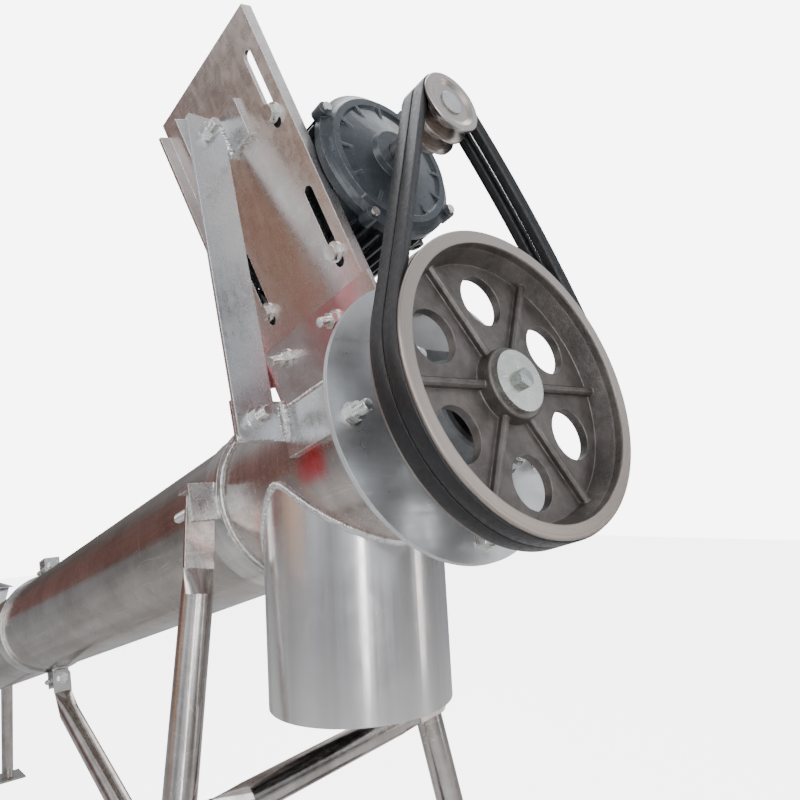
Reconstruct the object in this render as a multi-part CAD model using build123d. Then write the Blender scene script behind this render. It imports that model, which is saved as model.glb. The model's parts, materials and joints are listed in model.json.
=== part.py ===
"""Portable tube auger for grain: inclined screw conveyor with a belt drive at the head.

Head parts are drawn in the tube frame: X runs along the tube axis towards the head, from the
front face of the big pulley, Y is the far side and Z is up across the tube. TILT then leans the
tube frame up from level, and the whole machine is set down with its base centre at the origin.
"""
import os
from math import asin, atan2, cos, degrees, radians, sin, tan

from build123d import *

# ---- driving sizes, millimetres and degrees ----
TUBE_RISE = 14.6            # tube axis above level
TUBE_R = 109.5              # 219 mm tube
TUBE_WALL = 3.0
SPOUT_R = 108.5
SPOUT_DROP = 272.0          # tube axis down to the spout's rim
SPOUT_A = -293.0            # where the spout's axis meets the tube's axis
DISC_R = 156.0
DISC_FACE = -111.0          # front face of the head's end plate
SHEET = 3.0                 # end plate, flange rings
JOINT_1 = -419.0            # head casing to main tube
TUBE_LENGTH = 1124.0        # main tube, ring to ring
INTAKE_LENGTH = 1124.0      # intake section behind the main tube
RING_R = 114.6
BAND_WIDTH = 50.0
BAND_R = TUBE_R + 3.2        # reinforcing band behind a ring

SCREW_R = 100.0
SCREW_PITCH = 200.0
SCREW_TUBE_R = 30.0
FLIGHT_T = 4.0
SHAFT_R = 22.5
RUNNING = 0.05              # radial clearance of a shaft in its bearing
SEAT = 0.1                  # radial clearance of a part slipped over another

PULLEY_R = 157.5            # 315 mm, two B grooves
SMALL_PULLEY_R = 37.75
GROOVE_PITCH = 19.0
GROOVE_EDGE = 12.5
GROOVE_TOP = 17.0
GROOVE_DEPTH = 14.5
GROOVE_ANGLE = 38.0
BELT_PROUD = 1.5            # belt top above the pulley's rim
BELT_HEIGHT = 11.0
BELT_GAP = 0.35             # belt flank to groove flank, along the axis
HUB_R = 37.5

MOTOR_Y = 9.4               # motor shaft from the tube axis, far side
MOTOR_RISE = 325.7
MOTOR_HEIGHT = 100.0        # shaft above the foot face
MOTOR_SHAFT_R = 14.0
MOTOR_BODY_R = 86.0
FIN_R = 96.0
FOOT_SPAN = 180.0           # foot bolts across the motor
FOOT_REACH = 150.0          # foot bolts along the motor
FOOT_FRONT = -154.0         # front foot bolts, along the tube

PLATE_LEAN = 15.0           # motor plate out of plumb about the tube axis
PLATE_T = 5.0
PLATE_FRONT = -130.0
PLATE_REAR = -354.0
PLATE_LOW = 117.0
PLATE_HIGH = 530.0
LIP = 20.0                  # rear lip, near side
FRONT_LIP = 14.0            # front lip, far side
SLOT_BELOW = 18.0           # slot end below the bolt
SLOT_ABOVE = 84.0           # slot end above the bolt
BRACE_A = -240.0            # plane of the brace bar
BRACE_WIDTH = 48.0
BRACE_REACH = 152.5         # brace bar's middle from the tube axis, near side
BRACE_HIGH = 409.0          # upper bolt above the tube axis
BRACE_LOW = 44.0
BAR_T = 5.0

BOLT = 12.0
LEG_R = 19.0
LEG_WALL = 2.5
TAB_WIDTH = 38.0            # pressed-flat end of a leg
STUD_REACH = 133.0          # leg bolts from the tube axis
AXLE_X = -320.0             # axle from the pulley face, level
AXLE_DROP = 960.0           # axle below the pulley's centre
HALF_TRACK = 280.0
TIE_DROP = 343.0            # cross tie's low end below the leg bolts
TIE_RISE = 44.0
AXLE_TUBE_R = 21.0
AXLE_R = 12.5
WHEEL_R = 150.0
WHEEL_WIDTH = 62.0
RIM_R = 92.0
WHEEL_OUT = 62.0            # wheel's middle outside the leg

THROAT_AHEAD = 187.0        # middle of the hopper's throat ahead of the tail plate
THROAT_LONG = 220.0
THROAT_WIDE = 150.0
THROAT_RISE = 128.0
HOPPER_LONG = 300.0
HOPPER_WIDE = 240.0
HOPPER_RISE = 270.0         # hopper's rim above the tube axis
HOPPER_BACK = 100.0         # middle of the rim behind the middle of the throat
HOPPER_LIP = 12.0
HOPPER_WALL = 2.0
TAIL_PLATE_R = 128.0
TAIL_PLATE_T = 5.0
STAND_AHEAD = 57.0          # tail stand's bolts ahead of the tail plate
STAND_SPREAD = 180.0
STAND_REACH = 150.0         # tail stand's feet behind its bolts
FOOT = 100.0
FOOT_T = 6.0

HOUSING_HALF = 70.0         # square flange housing, half its side
HOUSING_BOLTS = 54.0
HOUSING_BOLT = 14.0
INSERT_R = 42.5
DISC_BOLTS_R = 132.0
HUB_FACE = -15.0            # front of the big pulley's hub
HOLE_PHASE = 30.0           # the web's holes
HOLE_RING = 96.0
HOLE_R = 28.0
MOTOR_FRONT = -128.0        # motor body, front and rear
MOTOR_REAR = -318.0
SADDLE_UP = 157.0
SADDLE_BOLTS = (-300.0, -192.0)
EAR_T = 5.0
LEG_TAB = 78.0              # flat of a leg below its bolt
LEG_RUN_IN = 30.0           # flat to round

# ---- places that follow from the sizes ----
TILT = Rot(0, -TUBE_RISE, 0)
UP_X, UP_Z = sin(radians(TUBE_RISE)), cos(radians(TUBE_RISE))
JOINT_2 = JOINT_1 - TUBE_LENGTH
TAIL = JOINT_2 - INTAKE_LENGTH
THROAT_A = TAIL + THROAT_AHEAD
STAND_A = TAIL + STAND_AHEAD
EAR_FRONT = JOINT_1 - 2 * SHEET - 1
EAR_REAR = JOINT_2 + 36
BRIDGE_END = JOINT_2 - 2 * SHEET - 1 - EAR_T
LEAN_UP = Vector(0, -sin(radians(PLATE_LEAN)), cos(radians(PLATE_LEAN)))
LEAN_OUT = Vector(0, -cos(radians(PLATE_LEAN)), -sin(radians(PLATE_LEAN)))
LEAN = Plane(origin=(0, 0, 0), x_dir=(1, 0, 0), z_dir=LEAN_OUT).location
MOTOR_L = MOTOR_RISE * LEAN_UP.Z + MOTOR_Y * LEAN_UP.Y
MOTOR_N = MOTOR_Y * LEAN_OUT.Y + MOTOR_RISE * LEAN_OUT.Z
PLATE_FAR = MOTOR_N + MOTOR_HEIGHT
PLATE_NEAR = PLATE_FAR + PLATE_T
PULLEY_WIDTH = 2 * GROOVE_EDGE + GROOVE_PITCH
GROUND = -AXLE_DROP - WHEEL_R
TUBE_AXIS = Vector(UP_Z, 0, UP_X)
TUBE_DOWN = Vector(UP_X, 0, -UP_Z)
nodes = {}


def keep_level(name, *shapes):
    """File a node drawn in the level frame: every shape is one or more separate solids of it."""
    nodes.setdefault(name, []).extend(solid for shape in shapes for solid in shape.solids())


def keep(name, *shapes):
    """File a node drawn in the tube frame."""
    keep_level(name, *[TILT * solid for shape in shapes for solid in shape.solids()])


def rod(radius, a0, a1, y=0.0, z=0.0):
    """Round bar along the tube axis."""
    return Pos((a0 + a1) / 2, y, z) * Rot(0, 90, 0) * Cylinder(radius, abs(a1 - a0))


def pipe(radius, bore, a0, a1, y=0.0, z=0.0):
    return rod(radius, a0, a1, y, z) - rod(bore, min(a0, a1) - 1, max(a0, a1) + 1, y, z)


def block(a, y, z):
    """Box from three (low, high) pairs."""
    size = [high - low for low, high in (a, y, z)]
    return Pos(*[(low + high) / 2 for low, high in (a, y, z)]) * Box(*size)


def bar(start, end, radius):
    """Round bar between two points."""
    run = Vector(*end) - Vector(*start)
    return Plane(origin=start, z_dir=run).location * Pos(0, 0, run.length / 2) * Cylinder(radius, run.length)


def turned(points):
    """Body of revolution about the tube axis, from (along, radius) points."""
    return revolve(Plane.XZ * make_face(Polyline(*points, close=True)), Axis.X)


def around(axis_y, axis_z, radius, angle):
    """Point on a circle about a shaft, degrees from the far side."""
    return axis_y + radius * cos(radians(angle)), axis_z + radius * sin(radians(angle))


def hexagon(across, height):
    """Hexagon with its corners turned off at the top."""
    prism = extrude(RegularPolygon(across / 2, 6, major_radius=False), height)
    cap = Pos(0, 0, height / 2) * Cylinder(across * 0.575, height)
    return prism & chamfer(cap.edges().group_by(Axis.Z)[-1], across * 0.06)


def washer(radius, bore, thick):
    return extrude(Circle(radius) - Circle(bore), thick)


def fastener(point, heading, grip, size=BOLT, stick=8.0, headed=True):
    """Hexagon bolt through a grip, with two washers and a nut; heading points from head to nut.
    Without its head it is a stud, welded at the point, with one washer and a nut."""
    place = Plane(origin=point, z_dir=heading).location
    thick, nut_high = 0.18 * size, 0.85 * size
    shank_end = grip + thick + nut_high + stick
    shank = Pos(0, 0, (shank_end - thick) / 2) * Cylinder(size / 2, shank_end + thick)
    shank = chamfer(shank.edges().group_by(Axis.Z)[-1], 0.08 * size)
    head = Pos(0, 0, -thick) * Rot(180, 0, 0) * hexagon(1.5 * size, 0.65 * size)
    ring = washer(size, size / 2 + SEAT, thick)
    nut = hexagon(1.5 * size, nut_high) - Cylinder(size / 2 + SEAT, 4 * nut_high)
    far_end = [place * Pos(0, 0, grip) * ring, place * Pos(0, 0, grip + thick) * nut]
    if not headed:
        return [place * (shank - Pos(0, 0, -thick) * Cylinder(size, 2 * thick))] + far_end
    return [place * (shank + head), place * Pos(0, 0, -thick) * ring] + far_end


def flat_ended_tube(ends, radius, wall, hole_r, tab=34.0, run_in=40.0):
    """Tube with pressed-flat bolted ends. Each end is (hole centre, flat's normal, heading into
    the tube); an end with no normal stays round and stops at its point."""
    tab_thick, tab_wide, back = 2 * wall, TAB_WIDTH, TAB_WIDTH / 2
    mouths = []
    pieces = []
    for number, (centre, normal, heading) in enumerate(ends):
        if normal is None:
            mouths.append(Vector(*centre))
            continue
        heading = Vector(*heading).normalized()
        place = Plane(origin=centre, x_dir=heading, z_dir=normal).location
        slab = place * Pos((tab - back) / 2, 0, 0) * Box(tab + back, tab_wide, tab_thick)
        corners = slab.edges().filter_by(lambda e: abs(e.tangent_at(0).dot(Vector(*normal).normalized())) > 0.99)
        tips = corners.sort_by(lambda e: (e.center() - Vector(*centre)).dot(heading))[:2]
        slab = fillet(tips, back * 0.7)
        pieces.append(slab - place * Cylinder(hole_r, 6 * tab_thick))
        onward = (Vector(*ends[1 - number][0]) - Vector(*centre)).normalized()
        mouths.append(Vector(*centre) + heading * tab + (heading + onward * 2).normalized() * run_in)
    axis = (mouths[1] - mouths[0]).normalized()
    bore = bar(mouths[0] - axis * 0.01, mouths[1] + axis * 0.01, radius - wall)
    tube = bar(mouths[0], mouths[1], radius) - bore
    for number, (centre, normal, heading) in enumerate(ends):
        if normal is None:
            continue
        heading = Vector(*heading).normalized()
        across = Vector(*normal).normalized().cross(heading)
        tab_end = Vector(*centre) + heading * tab
        toward = axis if number == 0 else -axis
        flat = Plane(origin=tab_end, x_dir=across, z_dir=heading) * Ellipse(tab_wide / 2, tab_thick * 0.62)
        round_end = Plane(origin=mouths[number], x_dir=across, z_dir=toward) * Circle(radius)
        pieces.append(loft([flat, round_end]))
    for piece in pieces:
        tube = tube + piece
    return tube


# ---- head casing, spout and end plate ----
def spout_place():
    """The spout's own frame: plumb, from where its axis meets the tube's."""
    return Pos(SPOUT_A, 0, 0) * Rot(0, TUBE_RISE, 0)


def head_section():
    spout_axis = spout_place()
    full_height = Pos(0, 0, -SPOUT_DROP / 2)
    back = DISC_FACE - SHEET
    casing = pipe(TUBE_R, TUBE_R - TUBE_WALL, JOINT_1, back)
    casing = casing - spout_axis * full_height * Cylinder(SPOUT_R - TUBE_WALL, SPOUT_DROP)
    spout = Cylinder(SPOUT_R, SPOUT_DROP) - Cylinder(SPOUT_R - TUBE_WALL, SPOUT_DROP + 2)
    spout = spout_axis * full_height * spout - rod(TUBE_R + SEAT, JOINT_1 - 200, DISC_FACE + 200)
    spout = spout.solids().sort_by(Axis.Z)[0]
    keep("head_casing", casing)
    keep("discharge_spout", spout)
    keep("head_flange", pipe(DISC_R, TUBE_R + SEAT, back - SHEET, back) - disc_bolt_holes())
    plate = pipe(DISC_R, SHAFT_R + 8, back, DISC_FACE) - disc_bolt_holes() - housing_bolt_holes(DISC_FACE)
    keep("end_plate", plate)
    for point in disc_bolt_points():
        keep("frame_bolts", *fastener((back - SHEET, *point), (1, 0, 0), 2 * SHEET, stick=16))


def disc_bolt_points():
    """Four bolts round the end plate, outside the casing."""
    return [around(0, 0, DISC_BOLTS_R, angle) for angle in (90, 180, 270, -25)]


def disc_bolt_holes():
    return Compound([rod(BOLT / 2 + 0.5, DISC_FACE - 20, DISC_FACE + 20, *p) for p in disc_bolt_points()])


def housing_bolt_points():
    return [(y * HOUSING_BOLTS, z * HOUSING_BOLTS) for y in (-1, 1) for z in (-1, 1)]


def housing_bolt_holes(face):
    return Compound([rod(HOUSING_BOLT / 2 + 0.5, face - 40, face + 40, *p) for p in housing_bolt_points()])


def flange_bearing(face, way, plate_thick):
    """Cast square flange housing on a plate, its ball bearing insert and seal, and its bolts.
    way is +1 when the housing stands out towards the head and -1 towards the tail."""
    def at(depth):
        return face + way * depth
    flange = block(sorted((at(0), at(14))), (-HOUSING_HALF, HOUSING_HALF), (-HOUSING_HALF, HOUSING_HALF))
    flange = fillet(flange.edges().filter_by(Axis.X), 18)
    boss = turned([(at(10), 0), (at(10), 60), (at(16), 57), (at(38), 52), (at(41), 49), (at(41), 0)])
    bore = turned([(at(-1), 0), (at(-1), 37), (at(9), 37), (at(9), INSERT_R + SEAT), (at(42), INSERT_R + SEAT),
                   (at(42), 0)])
    housing = flange + boss - bore - housing_bolt_holes(face)
    for y, z in housing_bolt_points():
        housing = housing - rod(15, *sorted((at(14), at(60))), y, z)
    keep("bearing_housings", housing)
    insert = turned([(at(10), 29.0), (at(10), INSERT_R), (at(34), INSERT_R), (at(36), 40.5), (at(36), 29.0)])
    inner = turned([(at(4), SHAFT_R + RUNNING), (at(4), 28.6), (at(46), 28.6), (at(47), 27.6),
                    (at(47), SHAFT_R + RUNNING)])
    keep("bearing_inserts", insert, inner)
    keep("bearing_inserts", pipe(40.0, 28.8, at(36.2), at(37.8)))
    head = face - way * plate_thick
    for y, z in housing_bolt_points():
        keep("bearing_bolts", *fastener((head, y, z), (way, 0, 0), plate_thick + 14, HOUSING_BOLT, 6))


# ---- tube sections and their joints ----
def joint_rings(a):
    """Facing flange rings on two tube ends, with a reinforcing band behind them, notched where
    they meet the spout."""
    notch = spout_place() * Pos(0, 0, -SPOUT_DROP / 2) * Cylinder(SPOUT_R + 0.3, SPOUT_DROP)
    keep("flange_rings", pipe(RING_R, TUBE_R + SEAT, a - SHEET, a) - notch)
    ring = pipe(RING_R, TUBE_R + SEAT, a - 2 * SHEET, a - SHEET)
    band = pipe(BAND_R, TUBE_R + SEAT, a - 2 * SHEET - BAND_WIDTH, a - 2 * SHEET)
    keep("band_rings", ring + band - notch)


def half_clamp(a):
    """Half clamp strap over the upper half of the rings."""
    strap = pipe(RING_R + 3, RING_R + 0.3, a - 2 * SHEET - 0.5, a + 1.5)
    keep("ring_clamps", strap & block((a - 20, a + 20), (-200, 200), (8, 200)))


def stud_ear(a, side, foot, rise=STUD_REACH + 16):
    """Welded ear on one side of the tube: an upright across it and a gusset over the stud behind."""
    upright = block((a - EAR_T, a), (foot, rise), (-20, 27))
    gusset = block((a - EAR_T - 34, a - EAR_T), (foot, rise - 4), (22, 27))
    ear = upright + gusset - rod(BOLT / 2 + 0.5, a - 20, a + 20, STUD_REACH, 0)
    keep("stud_ears", mirror(ear, Plane.XZ) if side < 0 else ear)


def stud(a, angle, depth, length=62.0, welded=True):
    """Stud through an ear towards the tail, welded or headed in front, with a washer and two nuts
    behind."""
    y, z = around(0, 0, STUD_REACH, angle)
    keep("joint_studs", *fastener((a, y, z), (-1, 0, 0), depth, stick=length - depth, headed=not welded))
    lock = Plane(origin=(a - depth - 13.2, y, z), z_dir=(-1, 0, 0)).location
    nut = hexagon(1.5 * BOLT, 7) - Cylinder(BOLT / 2 + SEAT, 60)
    keep("joint_studs", lock * nut)


def tube_sections():
    front = JOINT_1 - SHEET
    keep("main_tube", pipe(TUBE_R, TUBE_R - TUBE_WALL, JOINT_2 - SHEET, front))
    intake = pipe(TUBE_R, TUBE_R - TUBE_WALL, TAIL, JOINT_2 - SHEET)
    cut_long, cut_wide = THROAT_LONG / 2 - HOPPER_WALL, THROAT_WIDE / 2 - HOPPER_WALL
    throat = block((THROAT_A - cut_long, THROAT_A + cut_long), (-cut_wide, cut_wide), (0, TUBE_R + 10))
    keep("intake_tube", intake - throat)
    joint_rings(JOINT_1)
    joint_rings(JOINT_2)
    half_clamp(JOINT_1)
    half_clamp(JOINT_2)
    for side, angle in ((1, 0), (-1, 180)):
        stud_ear(EAR_FRONT, side, BAND_R + SEAT)
        stud(EAR_FRONT, angle, EAR_T + 2 * LEG_WALL)
        stud_ear(STAND_A, side, TUBE_R + SEAT)
        stud(STAND_A, angle, EAR_T + 2 * LEG_WALL, 24)
    for angle in (90, 270):
        bridge_ear(angle)
        start = EAR_REAR + (2 * LEG_WALL if angle == 270 else 0)
        stud(start, angle, start - BRIDGE_END, start - BRIDGE_END + 58, welded=False)


def bridge_ear(angle):
    """Welded ear astride the rear joint: two uprights under a strap, for one long stud."""
    rise = STUD_REACH + 18
    front = block((EAR_REAR - EAR_T, EAR_REAR), (TUBE_R + SEAT, rise), (-17, 17))
    rear = block((BRIDGE_END, BRIDGE_END + EAR_T), (BAND_R + SEAT, rise), (-17, 17))
    strap = block((BRIDGE_END, EAR_REAR), (rise - EAR_T, rise), (-17, 17))
    ear = front + rear + strap - rod(BOLT / 2 + 0.5, EAR_REAR - 90, EAR_REAR + 20, STUD_REACH, 0)
    keep("stud_ears", Rot(angle, 0, 0) * ear)


# ---- screw ----
def screw():
    head_end, tail_end = DISC_FACE - 40, TAIL + 30
    keep("screw_tube", pipe(SCREW_TUBE_R, SHAFT_R + SEAT, tail_end, head_end))
    flight_end = SPOUT_A - SPOUT_R + 20
    length = flight_end - tail_end - 20
    middle = (SCREW_TUBE_R + SEAT + SCREW_R) / 2
    helix = Helix(SCREW_PITCH, length, middle)
    blade = Plane(origin=helix @ 0, x_dir=(1, 0, 0), z_dir=helix % 0) * Rectangle(
        SCREW_R - SCREW_TUBE_R - SEAT, FLIGHT_T)
    flight = sweep(blade, path=helix, is_frenet=True)
    keep("screw_flight", Pos(tail_end + 20, 0, 0) * Rot(0, 90, 0) * flight)
    for side in (1, -1):
        low, high = sorted((side * (SCREW_TUBE_R + SEAT), side * (SCREW_R - 6)))
        keep("discharge_paddles", block((flight_end + 25, DISC_FACE - 45), (low, high), (-2.5, 2.5)))
    key_a, key_b, key_half, key_out = -58.0, -18.0, 7.0, SHAFT_R + 3.8
    key = block((key_a, key_b), (-key_half, key_half), (SHAFT_R - 5.5, key_out))
    hub_bolt_hole = rod(BOLT / 2 + SEAT, -60, 0)
    head_stub = rod(SHAFT_R, head_end - 160, HUB_FACE - 1) - key - hub_bolt_hole
    keep("stub_shafts", head_stub)
    keep("stub_shafts", rod(SHAFT_R, TAIL - 58, tail_end + 160))
    keep("drive_key", key)
    face_washer = Plane(origin=(HUB_FACE, 0, 0), z_dir=(1, 0, 0)).location * washer(32, BOLT / 2 + SEAT, 5)
    keep("hub_washer", face_washer)
    head = Plane(origin=(HUB_FACE + 5, 0, 0), z_dir=(1, 0, 0)).location * hexagon(18, 7.8)
    keep("hub_bolt", head + rod(BOLT / 2, -50, HUB_FACE + 5.5))
    keep("drive_pulley", big_pulley(key))


def grooved_rim(radius):
    """(along, radius) points down the outside of a two-groove V-belt rim, front to back."""
    floor = GROOVE_TOP / 2 - GROOVE_DEPTH * tan(radians(GROOVE_ANGLE / 2))
    points = [(0, radius - 1), (-1, radius)]
    for middle in (-GROOVE_EDGE, -GROOVE_EDGE - GROOVE_PITCH):
        points += [(middle + GROOVE_TOP / 2, radius), (middle + floor, radius - GROOVE_DEPTH),
                   (middle - floor, radius - GROOVE_DEPTH), (middle - GROOVE_TOP / 2, radius)]
    return points + [(1 - PULLEY_WIDTH, radius), (-PULLEY_WIDTH, radius - 1)]


def big_pulley(key):
    """Cast two-groove pulley: machined rim, recessed web with six holes and six ribs, keyed hub."""
    web_front, web_back = -30.0, -40.0
    inner = PULLEY_R - GROOVE_DEPTH - 7
    rim = turned(grooved_rim(PULLEY_R) + [(-PULLEY_WIDTH, inner + 3), (web_back, inner), (web_front, inner),
                                          (-9, PULLEY_R - 15), (0, PULLEY_R - 14)])
    web = turned([(web_front, 0), (web_front, inner + 1), (web_back, inner + 1), (web_back, 0)])
    hub = turned([(HUB_FACE, 0), (HUB_FACE, HUB_R - 1.5), (HUB_FACE - 1.5, HUB_R), (web_front, HUB_R + 2),
                  (web_back, HUB_R + 2), (-62, HUB_R), (-62, 0)])
    body = rim + web
    for number in range(6):
        y, z = around(0, 0, HOLE_RING, HOLE_PHASE + 60 * number)
        hole = rod(HOLE_R, web_back - 2, web_front + 2, y, z)
        rib = block((web_front - 1, web_front + 8), (HUB_R - 3, inner + 3), (-4.5, 4.5))
        rib = chamfer(rib.faces().sort_by(Axis.X)[-1].edges().filter_by(Axis.Y), 2.5)
        body = body - hole + Rot(HOLE_PHASE + 30 + 60 * number, 0, 0) * rib
    return body + hub - rod(SHAFT_R + 0.02, -70, 1) - key


# ---- motor plate with its saddle and brace ----
def motor_plate():
    plate = block((PLATE_REAR, PLATE_FRONT), (PLATE_LOW, PLATE_HIGH), (PLATE_FAR, PLATE_NEAR))
    front_lip = block((PLATE_FRONT - PLATE_T, PLATE_FRONT), (PLATE_LOW + 60, PLATE_HIGH),
                      (PLATE_NEAR - FRONT_LIP, PLATE_NEAR))
    rear_lip = block((PLATE_REAR, PLATE_REAR + PLATE_T), (PLATE_LOW + 20, PLATE_HIGH - 22),
                     (PLATE_FAR, PLATE_FAR + LIP))
    plate = plate + front_lip + rear_lip
    for a, up in foot_points():
        low, high = up - SLOT_BELOW, up + SLOT_ABOVE
        slot = SlotOverall(high - low, BOLT + 2, rotation=90)
        plate = plate - Pos(a, (low + high) / 2, PLATE_FAR - 5) * extrude(slot, PLATE_T + 10)
    for a in SADDLE_BOLTS:
        plate = plate - Pos(a, SADDLE_UP, PLATE_FAR) * Cylinder(BOLT / 2 + 0.5, 40)
    keep("motor_plate", LEAN * plate)


def foot_points():
    """Motor foot bolts, (along the tube, up the plate)."""
    return [(FOOT_FRONT - reach, MOTOR_L + side * FOOT_SPAN / 2)
            for reach in (0, FOOT_REACH) for side in (-1, 1)]


def saddle():
    """Angle welded on the tube; its upright carries the motor plate's foot."""
    upright = block((-342, DISC_FACE - 2 * SHEET - 0.3), (60, 181), (PLATE_NEAR, PLATE_NEAR + BAR_T))
    base = block((-342, DISC_FACE - 2 * SHEET - 0.3), (92, 92 + BAR_T), (PLATE_NEAR, PLATE_NEAR + 40))
    for a in SADDLE_BOLTS:
        upright = upright - Pos(a, SADDLE_UP, PLATE_FAR) * Cylinder(BOLT / 2 + 0.5, 60)
    bracket = LEAN * (upright + base) - rod(TUBE_R + SEAT, JOINT_1, 0)
    keep("saddle_bracket", bracket.solids().sort_by(SortBy.VOLUME)[-1])
    for a in SADDLE_BOLTS:
        start = LEAN * Pos(a, SADDLE_UP, PLATE_FAR)
        keep("frame_bolts", *fastener(start.position, LEAN_OUT, PLATE_T + BAR_T, stick=14))


def brace():
    """Flat bar from an ear on the casing to an ear on the motor plate."""
    out, half = -BRACE_REACH, BRACE_WIDTH / 2
    bar_back, bar_front = BRACE_A - BAR_T, BRACE_A
    strap = block((bar_back, bar_front), (out - half, out + half), (BRACE_LOW - 24, BRACE_HIGH + 24))
    strap = fillet(strap.edges().filter_by(Axis.X), 8)
    for z in (BRACE_LOW, BRACE_HIGH):
        strap = strap - rod(BOLT / 2 + 0.5, BRACE_A - 20, BRACE_A + 20, out, z)
        keep("frame_bolts", *fastener((bar_back - BAR_T, out, z), (1, 0, 0), 2 * BAR_T, stick=12))
    keep("brace_bar", strap)
    ear_a = (bar_back - BAR_T, bar_back)
    hole = Compound([rod(BOLT / 2 + 0.5, BRACE_A - 40, BRACE_A + 40, out, z) for z in (BRACE_LOW, BRACE_HIGH)])
    up = BRACE_HIGH * LEAN_UP.Z + out * LEAN_UP.Y
    upright = block(ear_a, (up - 28, up + 22), (PLATE_NEAR, PLATE_NEAR + 62))
    lying = block((bar_back, bar_back + 46), (up - 28, up + 22), (PLATE_NEAR, PLATE_NEAR + BAR_T))
    tie_in = block((ear_a[0], bar_back + 2), (up - 28, up + 22), (PLATE_NEAR, PLATE_NEAR + BAR_T))
    clear_bar = block((bar_back, bar_front + 1), (out - half - 1, out + half + 0.5),
                      (BRACE_LOW, BRACE_HIGH + 40))
    keep("brace_ear_upper", LEAN * (upright + lying + tie_in) - hole - clear_bar)
    ear = block(ear_a, (out - half, -TUBE_R - SEAT), (BRACE_LOW - 24, BRACE_LOW + 22))
    strip_y = (-TUBE_R - SEAT - BAR_T, -TUBE_R - SEAT)
    strip = block((ear_a[0], DISC_FACE - 2 * SHEET - 0.3), strip_y, (2, 54))
    ear = ear + strip - hole - block((bar_back, bar_front + 1), (out - half - 1, out + half + 0.5), (0, 100))
    keep("brace_ear_lower", ear)


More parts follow.
